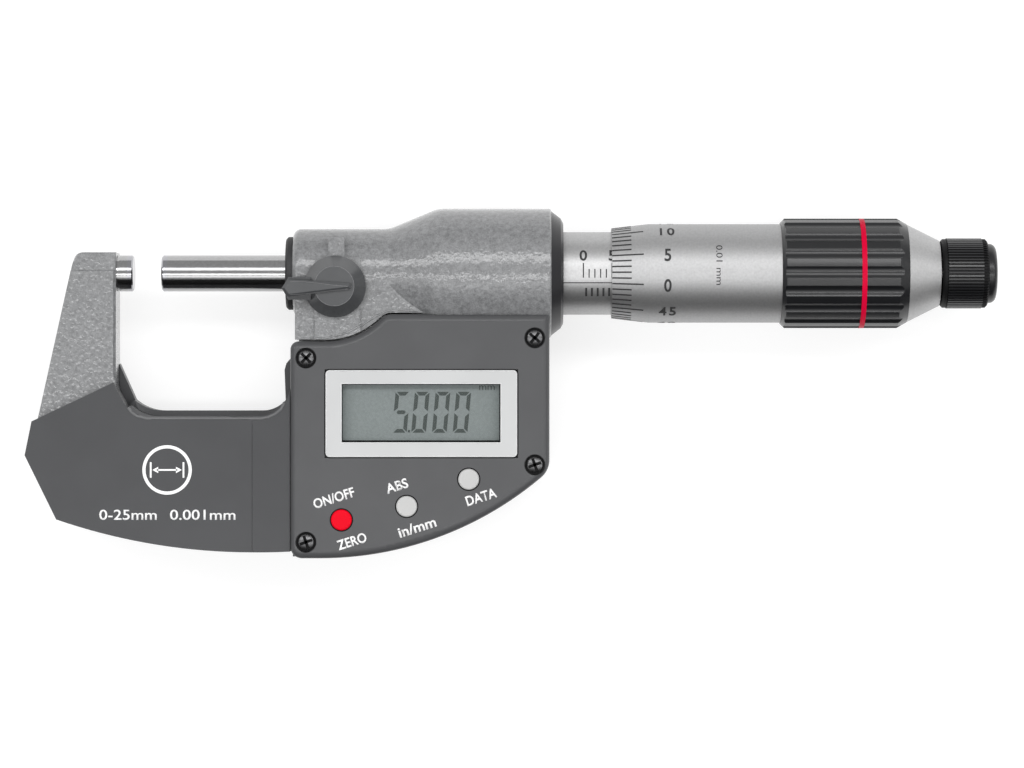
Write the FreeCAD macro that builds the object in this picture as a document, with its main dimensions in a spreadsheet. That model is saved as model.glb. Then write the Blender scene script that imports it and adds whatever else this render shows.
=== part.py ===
import FreeCAD, Part

import math
import os
import re

import Sketcher

# A digital outside micrometer, 0 to 25 mm, lying on its back with the display up.
# Millimetres. X runs along the spindle from the anvil to the ratchet, Y towards the top of
# the display, Z up out of the display. The origin is the centre of the anvil's measuring
# face, so the table is axis_height below it.

sizes = {
    # The lie of the instrument, and the gap that it shows between its measuring faces
    "axis_height": 12.0,
    "reading": 5.0,
    "measuring_range": 25.0,
    # Gaps that fits and seats share
    "glue_gap": 0.02,
    "run_gap": 0.03,
    "cover_gap": 0.05,
    "seat_gap": 0.2,
    # Cast bow: the arm and the plate
    "frame_thick": 8.4,
    "anvil_reach": 2.85,
    "arm_top": 3.6,
    "arm_top_width": 7.15,
    "arm_foot_width": 13.55,
    "arm_foot_drop": 25.3,
    "arm_corner": 1.7,
    "arm_bevel": 0.6,
    "arm_edge": 0.45,
    "arm_step": 0.5,
    "arm_step_depth": 0.3,
    "elbow_drop": 19.4,
    "elbow_width": 1.85,
    "bow_recess": 1.8,
    # Cast bow: the head round the spindle
    "head_left": 28.0,
    "head_right": 73.15,
    "nose_dia": 15.6,
    "nose_end": 44.8,
    "nose_round": 1.4,
    "barrel_dia": 22.7,
    "nose_slope": 22.6,
    "nose_blend": 5.0,
    "barrel_round": 0.4,
    "leg_half": 7.0,
    "leg_front": 7.65,
    "leg_inset": 0.6,
    "leg_gap": 0.3,
    "boss_left": 32.0,
    "boss_right": 40.0,
    "boss_top": 2.6,
    "boss_face": 8.1,
    "rib_left": 34.4,
    "rib_right": 37.2,
    "rib_top": 6.1,
    "rib_face": 7.6,
    # Front cover of the bow
    "cover_wall": 1.3,
    "grip_face": 6.3,
    "grip_edge": 1.25,
    "grip_edge_depth": 0.5,
    "crease_width": 0.16,
    "crease_depth": 0.12,
    "grip_left": 18.5,
    "grip_left_drop": 31.8,
    "shoulder_left": 17.3,
    "shoulder_drop": 25.9,
    "toe_left": 13.0,
    "neck_drop": 19.2,
    "throat_drop": 25.05,
    "throat_left": 4.6,
    "throat_left_round": 6.76,
    "throat_right": 22.0,
    "throat_right_round": 5.85,
    "belly_middle": 21.2,
    "belly_drop": 48.7,
    "belly_round": 105.0,
    "ramp_start": 21.1,
    "ramp_top": 8.3,
    # Back cover
    "back_step": 1.0,
    "back_rim_depth": 0.35,
    "back_neck_drop": 15.8,
    "bow_back": 6.3,
    "bump_left": 26.4,
    "bump_drop": 16.9,
    "back_edge": 0.9,
    # Display unit
    "housing_left": 27.85,
    "housing_right": 72.8,
    "housing_face": 9.5,
    "housing_edge": 1.3,
    "housing_wall": 1.6,
    "shelf_drop": 12.0,
    "shelf_end": 34.0,
    "shelf_round": 13.6,
    "shelf_lip": 2.5,
    "housing_top": 7.3,
    "housing_bottom": 49.65,
    "bottom_middle": 33.1,
    "bottom_round": 59.2,
    "side_corner": 4.0,
    "small_corner": 2.0,
    "shelf_corner": 1.4,
    # Screws: the four of the display unit also place the four of the back
    "screw_left": 30.6,
    "screw_right": 70.25,
    "screw_top_left": 14.9,
    "screw_top_right": 11.4,
    "screw_low_right": 33.4,
    "screw_low_left": 46.8,
    "screw_dia": 1.6,
    "screw_head_dia": 3.35,
    "screw_head": 1.1,
    "screw_gap": 0.15,
    "screw_end": 0.6,
    "cross_length": 1.9,
    "cross_width": 0.48,
    "cross_depth": 0.6,
    "bow_screw_left": -10.5,
    "bow_screw_right": 14.0,
    "bow_screw_drop": 36.0,
    # Electronics
    "board_left": 33.6,
    "board_right": 67.8,
    "board_drop": 15.0,
    "board_margin": 3.0,
    "board_gap": 0.4,
    "board_bottom": 3.4,
    "board_thick": 1.2,
    "pocket_floor": 0.8,
    "gasket_width": 1.0,
    "gasket_thick": 0.6,
    "chip_in": 8.5,
    "chip_length": 5.5,
    "chip_width": 5.5,
    "chip_thick": 1.4,
    "crystal_length": 2.0,
    "ribbon_width": 2.4,
    "ribbon_thick": 0.4,
    # Display window
    "bezel_left": 34.0,
    "bezel_right": 67.2,
    "bezel_high": 17.0,
    "bezel_low": 32.05,
    "bezel_corner": 0.7,
    "bezel_proud": 0.1,
    "bezel_lip": 0.7,
    "bezel_flange": 0.7,
    "flange_thick": 0.9,
    "window_left": 36.8,
    "window_right": 64.3,
    "window_high": 19.4,
    "window_low": 29.5,
    "window_overlap": 1.0,
    "window_thick": 1.0,
    "panel_thick": 1.8,
    "panel_gap": 0.1,
    # Keys
    "key_dia": 3.65,
    "key_gap": 0.2,
    "key_flange": 0.7,
    "key_flange_thick": 0.8,
    "key_proud": 0.35,
    "key_travel": 0.4,
    "zero_key_in": 3.15,
    "zero_key_rise": 6.59,
    "abs_key_in": 14.45,
    "abs_key_rise": 7.13,
    "data_key_in": 9.0,
    "data_key_rise": 7.88,
    "mat_thick": 0.5,
    "mat_rim": 2.6,
    "dome_dia": 3.0,
    # Battery and its cap
    "battery_middle": 51.0,
    "battery_drop": 29.0,
    "battery_dia": 20.0,
    "battery_thick": 3.2,
    "battery_gap": 0.4,
    "battery_round": 0.5,
    "cap_rim": 2.0,
    "cap_thick": 1.6,
    "cap_inset": 0.15,
    "cap_gap": 0.15,
    "cap_bevel": 0.3,
    "lug_width": 5.0,
    "lug_reach": 0.9,
    "lug_thick": 0.7,
    "slot_width": 1.6,
    "slot_length": 15.0,
    "slot_depth": 0.8,
    "seal_thick": 0.9,
    "seal_inset": 0.4,
    "contact_reach": 5.4,
    "contact_width": 2.4,
    "contact_length": 3.2,
    "contact_thick": 0.5,
    "blade_inset": 0.6,
    "blade_width": 0.8,
    # Data port
    "port_high": 20.5,
    "port_low": 28.5,
    "port_base": 9.0,
    "port_top": 5.4,
    "port_wall": 0.9,
    "port_depth": 1.9,
    "connector_length": 2.9,
    "connector_inset": 2.6,
    "plug_thick": 1.4,
    # Anvil and spindle
    "spindle_dia": 6.35,
    "anvil_shank": 6.6,
    "tip_length": 1.0,
    "tip_bevel": 0.25,
    "thread_dia": 7.1,
    "thread_start": 79.0,
    "thread_length": 39.0,
    "keyway_start": 34.0,
    "keyway_length": 29.0,
    "keyway_width": 1.6,
    "keyway_depth": 0.8,
    # Seal at the spindle's way out
    "seal_dia": 12.8,
    "seal_width": 1.2,
    "seal_spigot_dia": 9.0,
    "seal_spigot": 1.5,
    "seal_bevel": 0.4,
    # Encoder in the barrel
    "chamber_start": 54.0,
    "chamber_dia": 18.0,
    "stator_thick": 1.6,
    "air_gap": 0.6,
    "rotor_thick": 1.2,
    "rotor_gap": 0.8,
    "hub_dia": 10.0,
    "hub_length": 7.0,
    "hub_gap": 0.08,
    "hub_rim": 1.4,
    "hub_rim_end": 1.0,
    "key_in": 3.0,
    "key_pin_dia": 1.5,
    "spring_length": 1.9,
    "spring_thick": 0.35,
    # Inner sleeve with its nut, and the outer sleeve
    "flange_start": 67.0,
    "flange_thick_nut": 4.0,
    "inner_sleeve_dia": 12.5,
    "inner_bore_dia": 8.6,
    "nut_start": 104.0,
    "nut_length": 14.0,
    "nut_dia": 11.8,
    "nut_step": 112.0,
    "nut_slot": 1.0,
    "nut_slot_count": 3,
    "nut_slot_in": 2.0,
    "adjusting_dia": 13.8,
    "adjusting_length": 4.5,
    "end_ring_dia": 21.8,
    "end_ring_face_dia": 17.6,
    "end_ring_width": 2.1,
    "end_ring_slope": 1.25,
    "end_ring_lip": 0.45,
    "end_ring_spigot": 2.0,
    "sleeve_dia": 14.5,
    "scale_zero": 78.7,
    "sleeve_length": 35.5,
    # Thimble and grip
    "thimble_gap": 0.15,
    "thimble_skin": 1.25,
    "thimble_edge": 0.45,
    "thimble_bevel": 6.5,
    "thimble_length": 49.3,
    "thimble_wall": 5.0,
    "grip_seat_step": 0.45,
    "taper_large": 6.6,
    "taper_small": 5.6,
    "grip_start": 29.6,
    "grip_length": 22.1,
    "grip_wall": 1.4,
    "grip_lead": 0.7,
    "grip_tail": 1.7,
    "grip_tail_drop": 0.95,
    "flute_count": 18,
    "flute_width": 2.1,
    "flute_depth": 0.4,
    "flute_margin": 0.5,
    "band_start": 13.7,
    "band_width": 0.9,
    "band_depth": 0.4,
    # Tail cone and ratchet stop
    "cone_length": 5.7,
    "cone_step": 0.4,
    "cone_end_dia": 11.5,
    "knob_gap": 0.3,
    "knob_dia": 12.06,
    "knob_length": 8.1,
    "knob_bevel": 0.35,
    "knob_collar": 0.8,
    "knob_bore_dia": 9.4,
    "knob_web": 1.0,
    "knob_front": 4.0,
    "ridge_count": 72,
    "ridge_depth": 0.22,
    "ridge_groove": 0.26,
    "cap_end_dia": 10.4,
    "cap_end_length": 1.53,
    "cap_end_spigot": 0.8,
    "cap_end_round": 1.1,
    "ratchet_screw_dia": 3.4,
    "ratchet_head_dia": 6.0,
    "ratchet_head": 1.4,
    "ratchet_depth": 8.0,
    "tooth_count": 12,
    "tooth_depth": 0.35,
    "tooth_half": 0.6,
    "tooth_gap": 0.15,
    "tooth_inner_dia": 4.8,
    "clutch_thick": 0.8,
    "spring_leaf": 0.45,
    "spring_inset": 0.3,
    # Clamp lever
    "lock_x": 35.6,
    "lock_drop": 2.5,
    "lock_gap": 0.2,
    "lever_dia": 10.7,
    "lever_rim": 0.7,
    "lever_top_dia": 6.95,
    "lever_height": 3.7,
    "lever_tip": 9.1,
    "lever_tip_drop": 0.35,
    "lever_width": 3.0,
    "lever_block_width": 3.9,
    "lever_block_reach": 5.0,
    "lever_block_height": 2.3,
    "lever_point": 1.1,
    "lever_tail": 2.9,
    "lever_tail_width": 1.0,
    "lever_lift": 0.9,
    "ridge_height": 1.0,
    "lock_screw_dia": 4.0,
    "lock_pad_dia": 4.8,
    "lock_pad_top": 5.0,
    "lock_pad_bottom": 0.9,
}

document = FreeCAD.newDocument("micrometer")
sheet = document.addObject("Spreadsheet::Sheet", "sizes")
for row, (name, size) in enumerate(sizes.items(), 1):
    sheet.set(f"A{row}", name)
    sheet.set(f"B{row}", str(size))
    sheet.setAlias(f"B{row}", name)
document.recompute()

plain_word = re.compile(r"\b[a-z][a-z_]*\b")
left_side = 1
right_side = -1


def full(formula):
    # A formula in the sheet's own words becomes one that other objects can read
    return plain_word.sub(lambda found: "sizes." + found[0] if found[0] in sizes else found[0], str(formula))


def value(formula):
    return float(sheet.evalExpression(full(formula)))


def bind(thing, target, formula):
    thing.setExpression(target, full(formula))


# Places that several pieces share, as formulas
arm_face = "(-anvil_reach)"
half_thick = "(frame_thick / 2)"
nose_radius = "(nose_dia / 2)"
barrel_radius = "(barrel_dia / 2)"
barrel_start = "(nose_end + (barrel_dia - nose_dia) / 2 / tan(nose_slope))"
spindle_radius = "(spindle_dia / 2)"
seam_x = "(housing_left - cover_gap * 2)"
belly_centre = "(belly_round - belly_drop)"
bottom_centre = "(bottom_round - housing_bottom)"
thimble_front = "(scale_zero + reading)"
thimble_end = "(scale_zero + reading + thimble_length)"
thimble_bore = "(sleeve_dia / 2 + thimble_gap)"
thimble_radius = "(sleeve_dia / 2 + thimble_gap + thimble_skin)"
grip_seat = "(sleeve_dia / 2 + thimble_gap + thimble_skin - grip_seat_step)"
grip_radius = f"({grip_seat} + grip_wall)"
grip_front = "(scale_zero + reading + grip_start)"
grip_end = "(scale_zero + reading + grip_start + grip_length)"
cone_end = "(scale_zero + reading + grip_start + grip_length + cone_length)"
knob_start = "(scale_zero + reading + grip_start + grip_length + cone_length + knob_gap)"
knob_end = "(scale_zero + reading + grip_start + grip_length + cone_length + knob_gap + knob_length)"
web_start = f"({knob_start} + knob_front)"
web_end = f"({knob_start} + knob_front + knob_web)"
nut_bore = "(thread_dia / 2 + run_gap)"
screw_bore = "(ratchet_screw_dia / 2 + glue_gap)"
sleeve_start = "(head_right + end_ring_width)"
flange_end = "(flange_start + flange_thick_nut)"
hub_start = "(chamber_start + glue_gap + stator_thick + air_gap)"
hub_end = f"({hub_start} + hub_length)"
inner_face = "(housing_face - housing_wall)"
board_top = "(board_bottom + board_thick)"
cap_radius = "(battery_dia / 2 + cap_rim)"
cap_outer = "(cap_inset - axis_height)"
cap_inner = "(cap_inset - axis_height + cap_thick)"
battery_base = f"({cap_inner} + battery_gap)"
battery_top = f"({cap_inner} + battery_gap + battery_thick)"

nodes = []


def part_body(label):
    body = document.addObject("PartDesign::Body", label)
    body.Label = label
    nodes.append(body)
    return body


def sketch_on(body, role, lift="0"):
    plane = next(feature for feature in body.Origin.OriginFeatures if feature.Role == role)
    sketch = body.newObject("Sketcher::SketchObject", body.Name + "_sketch")
    sketch.AttachmentSupport = [(plane, "")]
    sketch.MapMode = "FlatFace"
    bind(sketch, "AttachmentOffset.Base.z", lift)
    return sketch


def hold(sketch, kind, formula, *geometry):
    index = sketch.addConstraint(Sketcher.Constraint(kind, *geometry, value(formula)))
    bind(sketch, f"Constraints[{index}]", formula)


def place(sketch, edge, end, x, y):
    hold(sketch, "DistanceX", x, -1, 1, edge, end)
    hold(sketch, "DistanceY", y, -1, 1, edge, end)


def arc_between(start, end, radius, side):
    # The shorter arc of this radius, with its centre to the left or right of the way from start to end
    chord = end - start
    across = FreeCAD.Vector(-chord.y, chord.x, 0).normalize()
    rise = math.sqrt(max(radius**2 - (chord.Length / 2) ** 2, 0))
    centre = (start + end) * 0.5 + across * rise * side
    angles = [math.atan2(point.y - centre.y, point.x - centre.x) for point in (start, end)]
    if side == right_side:
        angles.reverse()
    return Part.ArcOfCircle(Part.Circle(centre, FreeCAD.Vector(0, 0, 1), radius), *angles)


def outline(sketch, corners):
    # A closed outline. A corner is (x, y), or (x, y, radius, side) where an arc leads on from it
    points = [FreeCAD.Vector(value(corner[0]), value(corner[1]), 0) for corner in corners]
    ends = []
    for corner, here, there in zip(corners, points, points[1:] + points[:1]):
        if len(corner) == 2:
            edge = sketch.addGeometry(Part.LineSegment(here, there), False)
            ends.append((edge, 1, 2))
        else:
            edge = sketch.addGeometry(arc_between(here, there, value(corner[2]), corner[3]), False)
            ends.append((edge, 1, 2) if corner[3] == left_side else (edge, 2, 1))
    for (edge, _, last), (following, first, _) in zip(ends, ends[1:] + ends[:1]):
        sketch.addConstraint(Sketcher.Constraint("Coincident", edge, last, following, first))
    for corner, (edge, first, _) in zip(corners, ends):
        place(sketch, edge, first, corner[0], corner[1])
        if len(corner) == 4:
            hold(sketch, "Radius", corner[2], edge)


def circle(sketch, x, y, radius):
    centre = FreeCAD.Vector(value(x), value(y), 0)
    edge = sketch.addGeometry(Part.Circle(centre, FreeCAD.Vector(0, 0, 1), value(radius)), False)
    place(sketch, edge, 3, x, y)
    hold(sketch, "Radius", radius, edge)


def box_corners(left, right, low, high):
    return [(left, high), (right, high), (right, low), (left, low)]


def draw(sketch, shapes):
    # Each shape is an outline's list of corners, or a circle's (x, y, radius)
    for shape in shapes:
        if isinstance(shape, tuple):
            circle(sketch, *shape)
        else:
            outline(sketch, shape)


def grown(corners, distance):
    # A clockwise outline moved outwards by a distance all round, corners kept sharp
    points = [FreeCAD.Vector(value(corner[0]), value(corner[1]), 0) for corner in corners]
    count = len(corners)
    leaving, arriving = [], []
    for index, corner in enumerate(corners):
        here, there = points[index], points[(index + 1) % count]
        if len(corner) == 2:
            way = (there - here).normalize()
            leaving.append(way)
            arriving.append(way)
        else:
            arc = arc_between(here, there, value(corner[2]), corner[3])
            for point, ways in ((here, leaving), (there, arriving)):
                spoke = (point - arc.Center).normalize() * corner[3]
                ways.append(FreeCAD.Vector(-spoke.y, spoke.x, 0))
    moved = []
    for index, corner in enumerate(corners):
        before, after = arriving[index - 1], leaving[index]
        outward = FreeCAD.Vector(-before.y - after.y, before.x + after.x, 0)
        outward /= 1 + before.dot(after)
        place_now = (
            f"{corner[0]} + {outward.x:.6f} * ({distance})",
            f"{corner[1]} + {outward.y:.6f} * ({distance})",
        )
        if len(corner) == 4:
            place_now += (f"{corner[2]} - {corner[3]} * ({distance})", corner[3])
        moved.append(place_now)
    return moved


def layer(body, low, high, *shapes):
    # Solid between two heights
    sketch = sketch_on(body, "XY_Plane", low)
    draw(sketch, shapes)
    feature = body.newObject("PartDesign::Pad", body.Name + "_pad")
    feature.Profile = sketch
    bind(feature, "Length", f"{high} - ({low})")
    document.recompute()
    return feature


def cut(body, low, high, *shapes):
    # Material taken away between two heights
    sketch = sketch_on(body, "XY_Plane", high)
    draw(sketch, shapes)
    feature = body.newObject("PartDesign::Pocket", body.Name + "_pocket")
    feature.Profile = sketch
    bind(feature, "Length", f"{high} - ({low})")
    document.recompute()
    return feature


def cut_along(body, start, end, *shapes):
    # Material taken away between two places along the spindle, from an outline of Y and Z
    sketch = sketch_on(body, "YZ_Plane", end)
    draw(sketch, shapes)
    feature = body.newObject("PartDesign::Pocket", body.Name + "_groove")
    feature.Profile = sketch
    bind(feature, "Length", f"{end} - ({start})")
    document.recompute()
    return feature


def slice_off(body, corners):
    # Everything inside an outline of X and Z goes, all the way through in Y
    sketch = sketch_on(body, "XZ_Plane")
    outline(sketch, corners)
    feature = body.newObject("PartDesign::Pocket", body.Name + "_slice")
    feature.Profile = sketch
    feature.Type = "ThroughAll"
    feature.Midplane = True
    document.recompute()


def turned(body, corners, removed=False):
    # A profile of X and radius turned round the spindle's axis
    sketch = sketch_on(body, "XY_Plane")
    outline(sketch, corners)
    kind = "Groove" if removed else "Revolution"
    feature = body.newObject("PartDesign::" + kind, f"{body.Name}_{kind.lower()}")
    feature.Profile = sketch
    feature.ReferenceAxis = (sketch, ["H_Axis"])
    feature.Angle = 360
    document.recompute()


def ring(start, end, inner, outer):
    return [(start, inner), (start, outer), (end, outer), (end, inner)]


def repeat_round_axis(body, feature, count):
    pattern = body.newObject("PartDesign::PolarPattern", body.Name + "_pattern")
    pattern.Originals = [feature]
    axis = next(item for item in body.Origin.OriginFeatures if item.Role == "X_Axis")
    pattern.Axis = (axis, [""])
    pattern.Angle = 360
    bind(pattern, "Occurrences", count)
    body.Tip = pattern
    document.recompute()


def dress(body, kind, size, wanted, other_size=None):
    # A fillet or chamfer on the edges that a test picks. The other size makes a chamfer shallow
    before = body.Tip
    edges = [f"Edge{i}" for i, edge in enumerate(before.Shape.Edges, 1) if wanted(edge)]
    feature = body.newObject("PartDesign::" + kind, f"{body.Name}_{kind.lower()}")
    feature.Base = (before, edges)
    bind(feature, "Radius" if kind == "Fillet" else "Size", size)
    if other_size:
        feature.ChamferType = "Two distances"
        bind(feature, "Size2", other_size)
    document.recompute()


def upright_at(*places):
    # Picks the edges that run along Z at these places
    spots = [(value(x), value(y)) for x, y in places]

    def wanted(edge):
        box = edge.BoundBox
        thin = box.XLength < 1e-4 and box.YLength < 1e-4
        return thin and any(math.hypot(box.XMin - x, box.YMin - y) < 0.02 for x, y in spots)

    return wanted


def level_at(height, also=lambda edge: True):
    # Picks the edges that lie at one height
    z = value(height)

    def wanted(edge):
        return abs(edge.BoundBox.ZMin - z) < 1e-4 and edge.BoundBox.ZLength < 1e-4 and also(edge)

    return wanted


def hoop_at(x_place, radius):
    # Picks the circles round the spindle's axis at one place and radius
    x, size = value(x_place), value(radius)

    def wanted(edge):
        box = edge.BoundBox
        return box.XLength < 1e-4 and abs(box.XMin - x) < 1e-3 and abs(box.ZLength / 2 - size) < 0.02

    return wanted


# Outlines that the covers, the casting and the gaskets share. All run clockwise


def belly_y(x):
    return f"({belly_centre} - sqrt(belly_round ^ 2 - ({x} - belly_middle) ^ 2))"


def bottom_y(x, inset="0"):
    return f"({bottom_centre} - sqrt((bottom_round - {inset}) ^ 2 - ({x} - bottom_middle) ^ 2))"


def shelf_x(gap="0"):
    # Where the shelf's arc meets the top edge
    radius = f"(shelf_round - {gap})"
    return f"(shelf_end + sqrt({radius} ^ 2 - ({radius} - shelf_drop + housing_top) ^ 2))"


# The lip that rounds the corner between the shelf's arc and the top edge. Its centre is at lip_x
lip_rise = "(shelf_round - shelf_drop + housing_top + shelf_lip)"
lip_x = f"(shelf_end + sqrt((shelf_round + shelf_lip) ^ 2 - {lip_rise} ^ 2))"

toe = ("-toe_left", belly_y("(-toe_left)"))
grip_corner = ("-grip_left", "-grip_left_drop")
grip_shoulder = ("-shoulder_left", "-shoulder_drop")


def casting_corners():
    elbow = "(throat_left_round + cover_wall)"
    bend = "(throat_right_round + cover_wall)"
    inner_round = "(belly_round - cover_wall)"
    leg_x = "(throat_right + throat_right_round + cover_wall)"
    right_x = "(housing_right - cover_wall)"
    toe_x = "(-toe_left + cover_wall * 0.7)"

    def inner_belly(x):
        return f"({belly_centre} - sqrt({inner_round} ^ 2 - ({x} - belly_middle) ^ 2))"

    elbow_y = f"(throat_left_round - throat_drop - sqrt({elbow} ^ 2 - (throat_left + elbow_width) ^ 2))"
    return [
        (f"{arm_face} - arm_top_width", "arm_top"),
        (arm_face, "arm_top"),
        (arm_face, "-elbow_drop"),
        ("-elbow_width", elbow_y, elbow, left_side),
        ("throat_left", "-throat_drop - cover_wall"),
        ("throat_right", "-throat_drop - cover_wall", bend, left_side),
        (leg_x, "throat_right_round - throat_drop"),
        (leg_x, "-housing_top"),
        (right_x, "-housing_top"),
        (right_x, bottom_y(right_x, "cover_wall"), "bottom_round - cover_wall", right_side),
        ("bottom_middle", bottom_y("bottom_middle", "cover_wall")),
        (leg_x, inner_belly(leg_x), inner_round, right_side),
        (toe_x, inner_belly(toe_x)),
        ("-grip_left + cover_wall * 1.1", "-grip_left_drop"),
        (f"{arm_face} - arm_foot_width", "-arm_foot_drop"),
    ]


def shelf_corners(gap="0"):
    # The display unit's top edge: the low shelf under the clamp, then the arc up to the barrel
    return [
        ("housing_left", f"{gap} - shelf_drop"),
        ("shelf_end", f"{gap} - shelf_drop", f"shelf_round - {gap}", left_side),
        (shelf_x(gap), f"{gap} - housing_top"),
    ]


def housing_corners():
    return shelf_corners() + [
        ("housing_right", "-housing_top"),
        ("housing_right", bottom_y("housing_right"), "bottom_round", right_side),
        ("bottom_middle", "-housing_bottom"),
        ("housing_left", "-housing_bottom"),
    ]


def round_housing_corners(body):
    dress(body, "Fillet", "side_corner", upright_at(("housing_right", bottom_y("housing_right"))))
    dress(body, "Fillet", "shelf_lip", upright_at((shelf_x(), "-housing_top")))


def grip_corners():
    lip_y = "(throat_left_round - throat_drop - sqrt(throat_left_round ^ 2 - (throat_left + 0.1) ^ 2))"
    reach = f"({seam_x} - throat_right)"
    bend_y = f"(throat_right_round - throat_drop - sqrt(throat_right_round ^ 2 - {reach} ^ 2))"
    return [
        (f"{arm_face} - cover_gap * 6", "-neck_drop"),
        ("-0.75", f"{lip_y} - 0.4"),
        ("-0.1", lip_y, "throat_left_round", left_side),
        ("throat_left", "-throat_drop"),
        ("throat_right", "-throat_drop", "throat_right_round", left_side),
        (seam_x, bend_y),
        (seam_x, belly_y(seam_x), "belly_round", right_side),
        toe,
        grip_corner,
        grip_shoulder,
    ]


def back_corners():
    floor = "(back_step - throat_drop)"
    left_round = "(throat_left_round + back_step * 1.2)"
    left_end = "(throat_left + 0.6)"
    left_y = f"({floor} + {left_round} - sqrt({left_round} ^ 2 - {left_end} ^ 2))"
    right_round = "(throat_right_round - back_step * 0.4)"
    right_start = "(throat_right + 0.5)"
    right_x = "(bump_left + 0.2)"
    right_y = f"({floor} + {right_round} - sqrt({right_round} ^ 2 - ({right_x} - {right_start}) ^ 2))"
    return [
        (arm_face, "-back_neck_drop"),
        ("0", left_y, left_round, left_side),
        (left_end, floor),
        (right_start, floor, right_round, left_side),
        (right_x, right_y),
        ("bump_left", "-bump_drop"),
        ("bump_left + 0.3", "-bump_drop + 1.1"),
        ("housing_left", "-bump_drop + 2.5"),
        *shelf_corners(),
        ("housing_right", "-housing_top"),
        ("housing_right", bottom_y("housing_right"), "bottom_round", right_side),
        ("bottom_middle", "-housing_bottom"),
        ("housing_left", "-housing_bottom"),
        ("housing_left", belly_y("housing_left"), "belly_round", right_side),
        toe,
        grip_corner,
        grip_shoulder,
    ]


def board_corners():
    return [
        ("board_left", "-board_drop"),
        ("board_right", "-board_drop"),
        ("board_right", bottom_y("board_right", "board_margin"), "bottom_round - board_margin", right_side),
        ("board_left", bottom_y("board_left", "board_margin")),
    ]


def head_profile():
    # Nose, slope and barrel as X and radius, with every corner rounded
    run = "(nose_blend * tan(nose_slope / 2))"
    along, across = f"({run} * cos(nose_slope))", f"({run} * sin(nose_slope))"
    return [
        ("head_left", "0"),
        ("head_left", f"{nose_radius} - nose_round", "nose_round", right_side),
        ("head_left + nose_round", nose_radius),
        (f"nose_end - {run}", nose_radius, "nose_blend", left_side),
        (f"nose_end + {along}", f"{nose_radius} + {across}"),
        (f"{barrel_start} - {along}", f"{barrel_radius} - {across}", "nose_blend", right_side),
        (f"{barrel_start} + {run}", barrel_radius),
        ("head_right - barrel_round", barrel_radius, "barrel_round", right_side),
        ("head_right", f"{barrel_radius} - barrel_round"),
        ("head_right", "0"),
    ]


def clear_the_head(body):
    # The covers are hollowed to fit round the casting's head
    turned(body, [
        ("head_left", "0"),
        ("head_left", f"{nose_radius} + seat_gap"),
        ("nose_end", f"{nose_radius} + seat_gap"),
        (barrel_start, f"{barrel_radius} + seat_gap"),
        ("head_right + seat_gap", f"{barrel_radius} + seat_gap"),
        ("head_right + seat_gap", "0"),
    ], removed=True)


def housing_screw_places():
    return [
        ("screw_left", "-screw_top_left"),
        ("screw_right", "-screw_top_right"),
        ("screw_right", "-screw_low_right"),
        ("screw_left", "-screw_low_left"),
    ]


def bow_screw_places():
    return [("bow_screw_left", "-bow_screw_drop"), ("bow_screw_right", "-bow_screw_drop")]


def circles(places, radius):
    return [(x, y, radius) for x, y in places]


screw_radius = "(screw_dia / 2)"
screw_way = "(screw_dia / 2 + screw_gap)"
head_radius = "(screw_head_dia / 2)"
head_way = "(screw_head_dia / 2 + screw_gap)"


# Casting and anvil


def make_frame():
    body = part_body("frame")
    layer(body, f"-{half_thick}", half_thick, casting_corners())
    corner_x, top_y = value(f"{arm_face} - arm_top_width"), value("arm_top")
    dress(body, "Chamfer", "arm_bevel", lambda edge: (
        edge.BoundBox.YLength < 1e-4 and abs(edge.BoundBox.YMin - top_y) < 1e-4 and edge.BoundBox.XLength > 1
    ))
    dress(body, "Fillet", "arm_corner", lambda edge: (
        edge.BoundBox.XMax < corner_x + 0.2 and edge.BoundBox.YMax > top_y - 0.01
        and edge.BoundBox.XLength < 1
    ))
    inner_x, foot_y = value(arm_face), value("-elbow_drop")
    dress(body, "Chamfer", "arm_edge", level_at(half_thick, lambda edge: (
        edge.BoundBox.XLength < 1e-4 and abs(edge.BoundBox.XMin - inner_x) < 1e-3
        and edge.BoundBox.YMin > foot_y - 1
    )))
    # The arm's end is stepped down a little on its front
    cut(body, f"{half_thick} - arm_step_depth", f"{half_thick} + 1",
        box_corners(f"{arm_face} - arm_foot_width", f"{arm_face} + 1", "arm_step", "arm_top + 1"))
    step_y = value("arm_step")
    dress(body, "Chamfer", "arm_step_depth * 0.8", level_at(half_thick, lambda edge: (
        edge.BoundBox.YLength < 1e-4 and abs(edge.BoundBox.YMin - step_y) < 1e-3
    )))
    turned(body, head_profile())
    # The flat leg under the nose follows the display unit's shelf, and so does the clamp's boss
    leg_left, leg_low = "(head_left + leg_inset)", "(leg_gap - shelf_drop)"
    inner_round = "(shelf_round - leg_gap)"
    share = f"({inner_round} / (shelf_round + shelf_lip))"
    lip_end_x = f"(shelf_end + ({lip_x} - shelf_end) * {share})"
    lip_end_y = f"(shelf_round - shelf_drop - {lip_rise} * {share})"
    layer(body, "-leg_half", "leg_front", [
        (leg_left, "0"),
        (barrel_start, "0"),
        (barrel_start, "leg_gap - housing_top"),
        (lip_x, "leg_gap - housing_top", "shelf_lip + leg_gap", left_side),
        (lip_end_x, lip_end_y, inner_round, right_side),
        ("shelf_end", leg_low),
        (leg_left, leg_low),
    ])
    layer(body, "0", "boss_face", [
        ("boss_left", "boss_top"),
        ("boss_right", "boss_top"),
        ("boss_right", f"(shelf_round - shelf_drop - sqrt({inner_round} ^ 2 - (boss_right - shelf_end) ^ 2))",
         inner_round, right_side),
        ("shelf_end", leg_low),
        ("boss_left", leg_low),
    ])
    layer(body, "0", "rib_face", box_corners("rib_left", "rib_right", "0", "rib_top"))
    hollow_frame(body)
    return body


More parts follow.
